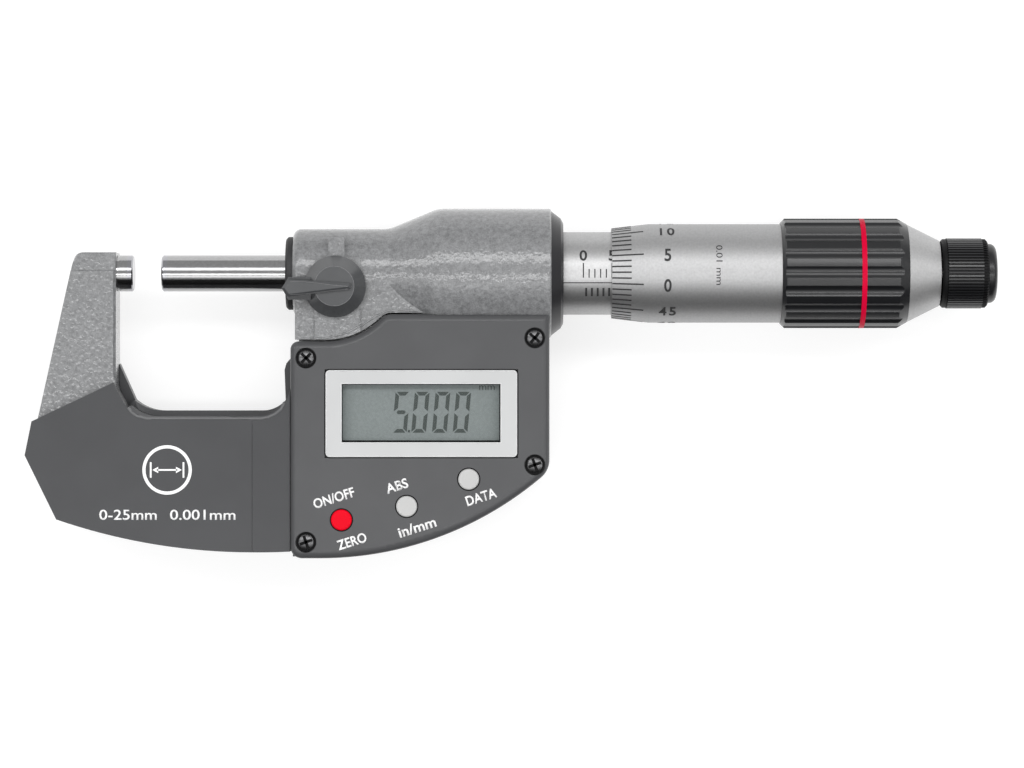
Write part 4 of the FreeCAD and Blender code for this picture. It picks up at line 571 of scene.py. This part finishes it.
def makeSleeveScale():
    zero, radius = scale["zeroAt"], scale["sleeveRadius"]
    pieces = []
    for name, start, count, every, longSpan, shortSpan, width in (
            ("sleeveTicksHigh", zero, 26, 5, scale["longAngles"], scale["shortAngles"], scale["highWidth"]),
            ("sleeveTicksLow", zero + 0.5, 25, 60, scale["lowAngles"], scale["lowAngles"], scale["lowWidth"])):
        values = {"Count": count, "Long Every": every, "Start X": start * mm, "Pitch": mm, "Radius": radius * mm,
                  "Width": width * mm, "Depth": scale["depth"] * mm}
        for kind, (first, last) in (("Long", longSpan), ("Short", shortSpan)):
            # the arc's own angle runs from the Y axis up to Z
            values[kind + " From"] = math.radians(90 + first)
            values[kind + " Sweep"] = math.radians(last - first)
        pieces.append(meshFromTree(name, rowTickTree, values, filledEngraving))
    half, outer = scale["lineWidth"] / 2, radius + scale["depth"] / 2
    points = []
    for x in (scale["sleeveStart"], scale["sleeveEnd"]):
        for out in (outer - scale["lineSink"], outer):
            for side in (-half, half):
                across = math.radians(scale["indexAngle"]) + side / outer
                points.append((x, -out * math.sin(across), out * math.cos(across)))
    faces = [(0, 1, 3, 2), (4, 6, 7, 5), (0, 4, 5, 1), (2, 3, 7, 6), (0, 2, 6, 4), (1, 5, 7, 3)]
    pieces.append(meshObject("indexLine", points, faces, filledEngraving))
    for number in range(0, 26, 5):
        text = letters(str(number), scale["digitHeight"], bold=scale["digitBold"])
        wrapRound(text, radius, zero + number, scale["digitAngle"])
        pieces.append(shapeObject(f"sleeveDigit{number}", text, filledEngraving))
    piece = smoothByAngle(joinPieces("sleeveScale", pieces), 60)
    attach(piece, "body")


def makeThimbleScale():
    marks = thimbleScale
    slope = (marks["radius"] - marks["edgeRadius"]) / marks["bevel"]
    pieces = [meshFromTree("thimbleTicks", ringTickTree, {
        "Count": marks["divisions"], "Long Every": marks["labelEvery"],
        "First Angle": math.radians(scale["indexAngle"]), "Start X": (marks["edge"] + marks["start"]) * mm,
        "Start Radius": marks["edgeRadius"] * mm, "Slope": slope, "Short Length": marks["shortLength"] * mm,
        "Long Length": marks["longLength"] * mm, "Width": marks["lineWidth"] * mm, "Depth": marks["depth"] * mm},
        filledEngraving)]
    for number in range(0, marks["divisions"], marks["labelEvery"]):
        text = letters(str(number), marks["digitHeight"], bold=marks["digitBold"], narrow=marks["digitNarrow"],
                       spacing=marks["digitSpacing"])
        angle = scale["indexAngle"] - number * 360 / marks["divisions"] + marks["digitAngle"]
        wrapRound(text, marks["radius"], marks["edge"] + marks["digitPlace"], angle)
        pieces.append(shapeObject(f"thimbleDigit{number}", text, filledEngraving))
    value = letters(divisionValue["text"], divisionValue["height"], divisionValue["width"])
    turnFlat(value, -90)
    wrapRound(value, marks["radius"], divisionValue["x"], divisionValue["angle"])
    pieces.append(shapeObject("divisionValue", value, filledEngraving))
    piece = smoothByAngle(joinPieces("thimbleScale", pieces), 60)
    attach(piece, "spindle_group")


makeSleeveScale()
makeThimbleScale()
print("scales engraved")


# Cross-recessed screws

screwSizes = {
    # in millimetres, under the names of the trees' inputs, heights measured from the head's top
    "Head Radius": 1.34, "Dome Radius": 2.74, "Head Depth": 0.62, "Cross Length": 2.3, "Cross Width": 0.52,
    "Cross Depth": 0.45, "Shade Liner Top": -0.3, "Shade Radius": 1.675, "Shade Top": -0.5, "Shade Base": -0.95,
    "Shank Radius": 0.78,
}
shadeLinerGap = 0.01
# place of the head's top, turn in degrees about the screw's own axis
frontScrews = [((30.6, -14.9, 9.35), 45), ((70.25, -11.4, 9.35), 50), ((70.25, -33.4, 9.35), 20),
               ((30.6, -46.8, 9.35), 20)]
backScrews = [((30.6, -14.9, -11.85), 10), ((70.25, -11.4, -11.85), 35), ((70.25, -33.4, -11.85), 60),
              ((30.6, -46.8, -11.85), 25), ((-10.5, -36.0, -6.15), 70), ((14.0, -36.0, -6.15), 5)]


def placedShape(tree, kind, values, along):
    # a primitive moved along its own axis
    made = addNode(tree, kind, values).outputs[0]
    return addNode(tree, "GeometryNodeTransform", {
        "Geometry": made, "Translation": addNode(tree, "ShaderNodeCombineXYZ", {"Z": along}).outputs[0]}).outputs[0]


def spanOf(tree, low, high):
    # a span's length and middle
    length = calculate(tree, "SUBTRACT", high, low)
    return length, calculate(tree, "MULTIPLY", calculate(tree, "ADD", high, low), 0.5)


def crossOf(tree, given, high, margin):
    # two bars across each other, up from the recess's floor, as its cutter or as its black lining of painted shade
    length = calculate(tree, "SUBTRACT", given["Cross Length"], margin)
    width = calculate(tree, "SUBTRACT", given["Cross Width"], margin)
    low = calculate(tree, "MULTIPLY", given["Cross Depth"], -1)
    tall, middle = spanOf(tree, low, high)
    bars = []
    for x, y in ((length, width), (width, length)):
        size = addNode(tree, "ShaderNodeCombineXYZ", {"X": x, "Y": y, "Z": tall}).outputs[0]
        bars.append(placedShape(tree, "GeometryNodeMeshCube", {"Size": size}, middle))
    return bars


def stoodOn(tree, given, geometry, material):
    # an instance on each spot, with that spot's turn
    turn = addNode(tree, "GeometryNodeInputNamedAttribute", {"Name": "turn"}, data_type="FLOAT_VECTOR").outputs[0]
    placed = addNode(tree, "GeometryNodeInstanceOnPoints", {
        "Points": given["Spots"], "Instance": geometry, "Rotation": turn}).outputs[0]
    return finishTree(tree, placed, material)


def screwHeadTree(material):
    # a domed head: a cylinder within a ball, with the cross cut out of it
    tree, given = newGeometryTree("screwHeads", [
        "Spots", "Head Radius", "Dome Radius", "Head Depth", "Cross Length", "Cross Width", "Cross Depth"])
    tall = calculate(tree, "MULTIPLY", given["Head Depth"], 2)
    drum = addNode(tree, "GeometryNodeMeshCylinder", {
        "Vertices": 64, "Radius": given["Head Radius"], "Depth": tall}).outputs[0]
    down = calculate(tree, "MULTIPLY", given["Dome Radius"], -1)
    ball = placedShape(tree, "GeometryNodeMeshUVSphere", {
        "Segments": 96, "Rings": 96, "Radius": given["Dome Radius"]}, down)
    domed = addNode(tree, "GeometryNodeMeshBoolean", {"Mesh 2": drum}, operation="INTERSECT", solver="EXACT")
    tree.links.new(ball, domed.inputs["Mesh 2"])
    cut = addNode(tree, "GeometryNodeMeshBoolean", {"Mesh 1": domed.outputs[0]}, operation="DIFFERENCE",
                  solver="EXACT")
    for bar in crossOf(tree, given, tall, 0.0):
        tree.links.new(bar, cut.inputs["Mesh 2"])
    return stoodOn(tree, given, cut.outputs[0], material)


def screwSeatTree(material):
    # the flange under the head, black as painted shade in the gap round it, the shank, and the cross's black lining of
    # painted shade
    tree, given = newGeometryTree("screwShadeSeats", [
        "Spots", "Shade Radius", "Shade Top", "Shade Base", "Shank Radius", "Shank End", "Cross Length", "Cross Width",
        "Cross Depth", "Shade Liner Top"])
    joined = addNode(tree, "GeometryNodeJoinGeometry")
    for radius, top, base in (("Shade Radius", "Shade Top", "Shade Base"), ("Shank Radius", "Shade Base", "Shank End")):
        depth, middle = spanOf(tree, given[base], given[top])
        drum = placedShape(tree, "GeometryNodeMeshCylinder", {
            "Vertices": 64, "Radius": given[radius], "Depth": depth}, middle)
        tree.links.new(drum, joined.inputs[0])
    for bar in crossOf(tree, given, given["Shade Liner Top"], shadeLinerGap * mm):
        tree.links.new(bar, joined.inputs[0])
    return stoodOn(tree, given, joined.outputs[0], material)


def makeScrews(name, node, screws, flip, shankEnd):
    sizes = {key: value * mm for key, value in screwSizes.items()}
    sizes["Shank End"] = shankEnd * mm
    spots = [(place, (flip, 0, math.radians(turn))) for place, turn in screws]
    heads = meshFromTree(name + "Heads", screwHeadTree, sizes, headSteel, spots)
    # black seats and cross linings under the heads: painted shade in the screw holes and recesses
    shadeSeats = meshFromTree(name + "ShadeSeats", screwSeatTree, sizes, paintedShadeBlack, spots)
    piece = smoothByAngle(joinPieces(name, [heads, shadeSeats]), 30)
    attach(piece, "body")
    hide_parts(node)


makeScrews("housingScrews", "housing_screws", frontScrews, 0, -8.75)
makeScrews("backCoverScrews", "back_cover_screws", backScrews, math.pi, -11.25)
print("screws made")


# Beads and thin edges, some black as painted shade and some pale as painted highlights

caseFace, coverFace = 9.5, 6.3  # heights of the display unit's and the cover's faces
unturned = (0, 0, 0)
# black rings round the keys: painted shade of the gaps round them
keyShadeRings = {"keys": ["zero_button", "abs_button", "data_button"], "radius": 1.93, "thick": 0.1, "sink": 0.03}
knobRidges = {"count": 66, "start": 1.0, "length": 6.1, "radius": 6.02, "width": 0.3, "depth": 0.26}
bezelLines = {
    # left, right, low and high edges, corner radius, height and thickness
    # gap: a black line round the bezel, painted shade of the gap round it
    "gap": (33.9, 67.3, -32.15, -16.9, 0.75, caseFace, 0.11),
    # outer and inner: pale lines along the bezel's edges, painted highlights
    "outer": (34.12, 67.08, -31.93, -17.12, 0.6, 9.58, 0.1), "inner": (36.7, 64.4, -29.6, -19.3, 0.1, 9.58, 0.09),
}
# pale lines on the lever's disc rim and handle ridges: painted highlights
leverLines = {
    "centre": (35.6, -2.5), "discRadius": 3.42, "rimInset": 0.2, "thick": 0.06, "ringSink": 0.01, "ridgeSink": 0.05,
    "ridges": [[(28.0, -1.75), (30.5, -1.8), (33.0, -2.05), (36.0, -2.4), (39.3, -2.72)],
               [(28.0, -3.95), (30.5, -3.85), (33.0, -3.55), (36.0, -3.2), (39.3, -2.88)]],
}
# a pale bead along the throat's upper edge, paler than the cover: painted highlight
throatEdge = {
    "path": [(-0.5, -23.5), (0.1, -24.3), (1.0, -24.95), (2.7, -25.4), (6.0, -25.45), (12.0, -25.45), (18.0, -25.45),
             (22.6, -25.4), (24.0, -25.15), (25.2, -24.6), (26.2, -23.8), (26.8, -22.6)], "thick": 0.28, "sink": 0.12,
}
shelfBead = {
    "path": [(29.6, -11.5), (34.0, -11.45), (37.4, -10.6), (40.4, -9.1), (42.8, -7.55), (44.6, -6.75), (47.0, -6.55),
             (50.0, -6.75)], "thick": 0.18, "sink": 0.04,
    "bossEdges": [[(31.9, -7.9), (31.85, -9.5), (31.9, -11.2)], [(39.95, -6.4), (39.9, -7.9), (39.75, -9.2)]],
    "edgeThick": 0.13, "edgeSink": 0.05,
}


def onSurface(node, places, sink=0.0):
    # points laid on a solid's upper side, by rays from above it
    above = 40
    laid = []
    for x, y in places:
        hit, place, _, _ = nodes[node].ray_cast((x * mm, y * mm, above * mm), (0, 0, -1))
        if hit:
            laid.append((x, y, place.z / mm - sink))
    return laid


def subdivided(path):
    count, points = 5, []
    for a, b in zip(path, path[1:]):
        points += [tuple(p + (q - p) * i / count for p, q in zip(a, b)) for i in range(count)]
    return points + [path[-1]]


def roundSweep(tree, given, curve):
    return sweep(tree, curve, circle(tree, 10, given["Thick"]))


def ringBeadTree(material):
    tree, given = newGeometryTree("ringBeads", ["Spots", "Radius", "Thick"])
    return stoodOn(tree, given, roundSweep(tree, given, circle(tree, 72, given["Radius"])), material)


def frameBeadTree(material):
    tree, given = newGeometryTree("frameBeads", ["Spots", "Width", "Height", "Corner", "Thick"])
    rounded = addNode(tree, "GeometryNodeFilletCurve", {
        "Curve": oblong(tree, given["Width"], given["Height"]), "Radius": given["Corner"], "Count": 6},
        mode="POLY").outputs[0]
    return stoodOn(tree, given, roundSweep(tree, given, rounded), material)


def pathBeadTree(material):
    tree, given = newGeometryTree("pathBeads", ["Spots", "Thick"])
    path = addNode(tree, "GeometryNodeMeshToCurve", {"Mesh": given["Spots"]}).outputs[0]
    smooth = addNode(tree, "GeometryNodeCurveSplineType", {"Curve": path}, spline_type="CATMULL_ROM").outputs[0]
    return finishTree(tree, roundSweep(tree, given, smooth), material)


def ringBead(name, radius, thick, places, material):
    return meshFromTree(name, ringBeadTree, {"Radius": radius * mm, "Thick": thick * mm}, material,
                        [(place, unturned) for place in places])


def frameBead(name, sizes, material):
    left, right, low, high, corner, z, thick = sizes
    return meshFromTree(name, frameBeadTree, {
        "Width": (right - left) * mm, "Height": (high - low) * mm, "Corner": corner * mm, "Thick": thick * mm},
        material, [(((left + right) / 2, (low + high) / 2, z), unturned)])


def pathBead(name, node, path, sink, thick, material):
    spots = [(place, unturned) for place in onSurface(node, subdivided(path), sink)]
    edges = [(i, i + 1) for i in range(len(spots) - 1)]
    return meshFromTree(name, pathBeadTree, {"Thick": thick * mm}, material, spots, edges)


def makeBeads():
    keyPlaces = []
    for key in keyShadeRings["keys"]:
        middle = (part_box(key)[0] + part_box(key)[1]) / 2 / mm
        keyPlaces.append((middle.x, middle.y, caseFace - keyShadeRings["sink"]))
    # black rings and a black line laid as painted shade round the keys and the bezel
    rings = ringBead("keyShadeRings", keyShadeRings["radius"], keyShadeRings["thick"], keyPlaces, paintedShadeBlack)
    gap = frameBead("bezelGapShade", bezelLines["gap"], paintedShadeBlack)
    dark = joinPieces("gapShadeBeads", [rings, gap])
    pale = joinPieces("bezelHighlights", [frameBead(key + "Edge", bezelLines[key], bezelHighlightPale) for key in ("outer", "inner")])
    x, y = leverLines["centre"]
    radius, thick = leverLines["discRadius"], leverLines["thick"]
    rim = onSurface("lock_lever", [(x, y - radius + leverLines["rimInset"])])[0][2]
    edges = [ringBead("leverRing", radius, thick, [(x, y, rim - leverLines["ringSink"])], leverHighlightGrey)]
    edges += [pathBead("leverRidge", "lock_lever", path, leverLines["ridgeSink"], thick, leverHighlightGrey)
              for path in leverLines["ridges"]]
    lever = joinPieces("leverHighlights", edges)
    edges = [pathBead("shelfBead", "frame", shelfBead["path"], shelfBead["sink"], shelfBead["thick"], hammeredPaint)]
    edges += [pathBead("bossEdge", "frame", path, shelfBead["edgeSink"], shelfBead["edgeThick"], hammeredPaint)
              for path in shelfBead["bossEdges"]]
    paint = joinPieces("paintBeads", edges)
    throatHighlight = pathBead("throatEdge", "front_grip_plate", throatEdge["path"], throatEdge["sink"], throatEdge["thick"],
                   throatHighlightPlastic)
    length = knobRidges["length"] * mm
    ridges = meshFromTree("knobRidges", ringTickTree, {
        "Count": knobRidges["count"], "Long Every": 1, "First Angle": 0.0,
        "Start X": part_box("ratchet_knob")[0].x + knobRidges["start"] * mm, "Start Radius": knobRidges["radius"] * mm,
        "Slope": 0.0, "Short Length": length, "Long Length": length, "Width": knobRidges["width"] * mm,
        "Depth": knobRidges["depth"] * mm}, knobBlack)
    for piece, body, slot in ((dark, "body", "seal_rubber"), (pale, "body", "pale_plastic"),
                              (lever, "clamp", "black_plastic"), (paint, "body", "hammered_paint"),
                              (throatHighlight, "body", "dark_plastic"), (ridges, "ratchet", "grip_plastic")):
        smoothByAngle(piece, 50)
        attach(piece, body)


makeBeads()
print("beads laid")


# Display reading

reading = {
    "text": "5.000", "top": -20.75, "bottom": -27.86, "lefts": (45.45, 48.8, 52.4, 56.0), "width": 2.56,
    "stroke": 0.66, "gap": 0.14, "nib": 0.1, "slant": 5.2, "height": 0.03, "sink": 0.004,
    # the point's left side, rise over the digits' foot, width, height and lean
    "point": (48.2, 0.05, 0.4, 0.42, 0.04),
    # the unit's middle x and y, height, width and thickness
    "unit": (61.95, -20.05, 0.8, 2.7, 0.01),
    # the window's sides, and how wide its black bands of painted shade along the inner edges are at the low, right,
    # high and left side
    "window": (36.8, 64.3, -29.5, -19.4), "shadeBands": (0.32, 0.2, 0.12, 0.1), "shadeBandHeight": 0.06,
}
segmentsOf = {"0": "abcdef", "5": "acdfg"}


def segmentShapes(width, height, stroke, gap, nib):
    # the seven bars of a digit, each a polygon that tapers at its ends
    middle, half, taper = height / 2, stroke * 0.5, gap + stroke * 0.9
    near, far, inner = gap + nib, width - gap - nib, gap + stroke

    def upright(x, low, high, side):
        return [(x, low + gap), (x, high - gap), (x + side * stroke, high - taper), (x + side * stroke, low + taper)]
    return {
        "a": [(near, height), (far, height), (width - inner, height - stroke), (inner, height - stroke)],
        "d": [(near, 0), (inner, stroke), (width - inner, stroke), (far, 0)],
        "g": [(gap + half, middle), (taper, middle + half), (width - taper, middle + half),
              (width - gap - half, middle), (width - taper, middle - half), (taper, middle - half)],
        "f": upright(0, middle, height, 1), "e": upright(0, 0, middle, 1),
        "b": upright(width, middle, height, -1), "c": upright(width, 0, middle, -1),
    }


def addPrism(points, faces, polygon, low, high):
    # an upright prism on a flat polygon, given in either sense
    count = len(polygon)
    base = len(points)
    for z in (low, high):
        points.extend((x, y, z) for x, y in polygon)
    area = sum(a[0] * b[1] - b[0] * a[1] for a, b in zip(polygon, polygon[1:] + polygon[:1]))
    order = list(range(count)) if area > 0 else list(range(count))[::-1]
    faces.append([base + count + i for i in order])
    faces.append([base + i for i in reversed(order)])
    for here, there in zip(order, order[1:] + order[:1]):
        faces.append((base + here, base + there, base + count + there, base + count + here))


def makeReading():
    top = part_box("lcd_panel")[1].z / mm
    foot = reading["bottom"]
    lean = math.tan(math.radians(reading["slant"]))
    shapes = segmentShapes(reading["width"], reading["top"] - foot, reading["stroke"], reading["gap"], reading["nib"])
    points, faces = [], []
    level = (top - reading["sink"], top + reading["height"])
    for digit, left in zip(reading["text"].replace(".", ""), reading["lefts"]):
        for segment in segmentsOf[digit]:
            addPrism(points, faces, [(left + x + y * lean, foot + y) for x, y in shapes[segment]], *level)
    left, rise, wide, tall, shift = reading["point"]
    low, high = foot + rise, foot + rise + tall
    addPrism(points, faces, [(left, low), (left + wide, low), (left + wide + shift, high), (left + shift, high)],
             *level)
    digits = meshObject("readingDigits", points, faces, segmentInk)
    # black bands along the window's inner edges, widest at the low side: painted shade
    x0, x3, y0, y3 = reading["window"]
    lowShade, rightShade, highShade, leftShade = reading["shadeBands"]
    x1, x2, y1, y2 = x0 + leftShade, x3 - rightShade, y0 + lowShade, y3 - highShade
    points, faces = [], []
    for left, low, right, high in ((x0, y0, x3, y1), (x2, y1, x3, y2), (x0, y1, x1, y2), (x0, y2, x3, y3)):
        addPrism(points, faces, [(left, low), (right, low), (right, high), (left, high)], level[0],
                 top + reading["shadeBandHeight"])
    shadeBands = meshObject("windowShadeBands", points, faces, paintedShadeBlack)
    x, y, *size = reading["unit"]
    unit = letters("mm", *size)
    bmesh.ops.translate(unit, verts=unit.verts, vec=(x, y, top))
    piece = joinPieces("displayReading", [digits, shapeObject("readingUnit", unit, segmentInk), shadeBands])
    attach(piece, "body")


makeReading()
print("display reading made")


# Printed words and the ring on the cover

printSink = 0.005
words = [
    # height of the face, turn in degrees and boldness, then each word with its middle x and y, height and width
    (caseFace, 17.5, 0.22, [
        ("ON/OFF", 35.45, -39.15, 1.75, 7.35), ("ZERO", 38.55, -46.65, 1.75, 5.2), ("ABS", 46.35, -37.05, 1.75, 3.9),
        ("in/mm", 49.85, -44.2, 1.85, 6.7), ("DATA", 60.95, -38.95, 1.75, 5.4)]),
    (coverFace, 0, 0.1, [("0-25mm", -0.5, -42.15, 1.8, 10.0), ("0.001mm", 12.5, -42.15, 1.8, 11.4)]),
]
ringMark = {
    "x": 6.3, "y": -34.35, "outer": 4.3, "inner": 3.75, "corners": 72, "thick": 0.015,
    # from the ring's middle: the arrow shaft's end and half width, the head's tip, base and half width,
    # the bar's two sides and half height
    "shaft": (1.8, 0.14), "head": (2.55, 1.55, 0.55), "bar": (2.7, 3.0, 1.35),
}


def makeWords():
    pieces = []
    for face, turn, bold, entries in words:
        for text, x, y, height, width in entries:
            shape = letters(text, height, width, bold=bold)
            turnFlat(shape, turn)
            bmesh.ops.translate(shape, verts=shape.verts, vec=(x, y, face - printSink))
            pieces.append(shapeObject("word", shape, whiteInk))
    piece = joinPieces("printedWords", pieces)
    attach(piece, "body")


def makeRingMark():
    # a plain ring with a dimension arrow between two bars
    shape = bmesh.new()

    def corner(x, y):
        return shape.verts.new((ringMark["x"] + x, ringMark["y"] + y, coverFace))
    count = ringMark["corners"]
    turns = [2 * math.pi * i / count for i in range(count)]
    outer, inner = [[corner(radius * math.cos(turn), radius * math.sin(turn)) for turn in turns]
                    for radius in (ringMark["outer"], ringMark["inner"])]
    for i in range(count):
        j = (i + 1) % count
        shape.faces.new((outer[i], outer[j], inner[j], inner[i]))
    end, thin = ringMark["shaft"]
    tip, base, wide = ringMark["head"]
    near, far, tall = ringMark["bar"]
    polygons = [[(-end, thin), (-end, -thin), (end, -thin), (end, thin)]]
    for side in (-1, 1):
        for polygon in ([(tip, 0), (base, wide), (base, -wide)],
                        [(near, tall), (near, -tall), (far, -tall), (far, tall)]):
            polygons.append([(side * x, side * y) for x, y in polygon])
    for polygon in polygons:
        shape.faces.new([corner(x, y) for x, y in polygon])
    thicken(shape, ringMark["thick"])
    piece = shapeObject("ringMark", shape, whiteInk)
    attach(piece, "body")


makeWords()
makeRingMark()
print("print laid on")


# Camera, floor and light

view = {"middle": (66.3, -19.4), "distance": 750.0, "lens": 150.3}
light = {
    "world": 0.52, "strips": [
        # name, angle from straight above, width in degrees, radiance
        ("highStrip", 26.5, 13, 4.9),
        ("nearStrip", -8, 6, 6.0),
        ("lowStrip", -22, 11, 1.5),
    ],
    # these three are in metres
    "stripDistance": 3.0, "stripLength": 9.0, "stripMiddle": 0.07,
    "floorLift": 0.66, "floorTone": 0.40, "floorReach": 4000, "floorGap": 0.02,
}
# a black board at the low side, for metal to mirror: its ends, and the y and z of its bends
blackBoard = {"left": -900, "right": 1100, "bends": [(-75, -11), (-420, -8), (-420, 150), (-560, 700)]}


def makeCamera():
    camera = bpy.data.cameras.new("camera")
    camera.lens = view["lens"]
    camera.sensor_width = 36
    camera.clip_start, camera.clip_end = 0.01, 20
    holder = addObject("camera", camera)
    holder.location = (view["middle"][0] * mm, view["middle"][1] * mm, view["distance"] * mm)
    bpy.context.scene.camera = holder


def makeFloor():
    material, tree = startMaterial("paleFloor")
    path = addNode(tree, "ShaderNodeLightPath").outputs
    seen = calculate(tree, "MAXIMUM", path["Is Camera Ray"], calculate(
        tree, "MAXIMUM", path["Is Glossy Ray"], path["Is Transmission Ray"]))
    tone = noise(tree, objectPoint(tree), 3, 1.0)
    paper = addNode(tree, "ShaderNodeBsdfDiffuse", {"Color": ramp(tree, tone, [
        (0.3, grey(light["floorTone"])), (0.7, grey(light["floorTone"] + 0.02))])})
    lift = addNode(tree, "ShaderNodeEmission", {
        "Color": (1, 1, 1, 1), "Strength": calculate(tree, "MULTIPLY", seen, light["floorLift"])})
    both = addNode(tree, "ShaderNodeAddShader", {0: paper.outputs[0], 1: lift.outputs[0]})
    endMaterial(tree, both)
    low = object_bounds()[0][2] / mm - light["floorGap"]
    reach = light["floorReach"]
    corners = [(-reach, -reach, low), (reach, -reach, low), (reach, reach, low), (-reach, reach, low)]
    floor = meshObject("floor", corners, [(0, 1, 2, 3)], material)


def makeWorld():
    world = bpy.data.worlds.new("studio")
    world.use_nodes = True
    tree = world.node_tree
    tree.nodes.clear()
    path = addNode(tree, "ShaderNodeLightPath").outputs
    strength = addNode(tree, "ShaderNodeMapRange", {
        "Value": path["Is Camera Ray"], "To Min": light["world"], "To Max": 1.0}).outputs["Result"]
    sky = addNode(tree, "ShaderNodeBackground", {"Color": (1, 1, 1, 1), "Strength": strength})
    addNode(tree, "ShaderNodeOutputWorld", {"Surface": sky.outputs[0]})
    bpy.context.scene.world = world


def makeLamp(name, angle, width, radiance):
    # an area light of a given radiance over the object, tilted from straight above towards the display's top
    across, distance, length = math.radians(angle), light["stripDistance"], light["stripLength"]
    wide = 2 * distance * math.tan(math.radians(width / 2))
    lamp = bpy.data.lights.new(name, "AREA")
    lamp.shape = "RECTANGLE"
    lamp.size, lamp.size_y = length, wide
    lamp.energy = radiance * math.pi * length * wide
    holder = addObject(name, lamp)
    place = Vector((light["stripMiddle"], distance * math.sin(across), distance * math.cos(across)))
    holder.matrix_world = Matrix.Translation(place) @ Matrix.Rotation(-across, 4, "X")
    holder.visible_camera = False


def makeFlag():
    material, tree = startMaterial("blackBoard")
    tone = noise(tree, objectPoint(tree), 40, 1.0)
    shader = addNode(tree, "ShaderNodeBsdfPrincipled", {
        "Base Color": ramp(tree, tone, [(0.3, grey(0.008)), (0.7, grey(0.012))]), "Roughness": 0.9,
        "Specular IOR Level": 0.1})
    endMaterial(tree, shader)
    points = [(x, y, z) for y, z in blackBoard["bends"] for x in (blackBoard["left"], blackBoard["right"])]
    flag = meshObject("flag", points, [(0, 1, 3, 2), (2, 3, 5, 4), (4, 5, 7, 6)], material)
    flag.visible_camera = flag.visible_diffuse = flag.visible_shadow = flag.visible_transmission = False


makeCamera()
makeFloor()
makeWorld()
makeFlag()
for strip in light["strips"]:
    makeLamp(*strip)
bpy.context.scene.view_settings.view_transform = "Standard"
print("camera and light set")
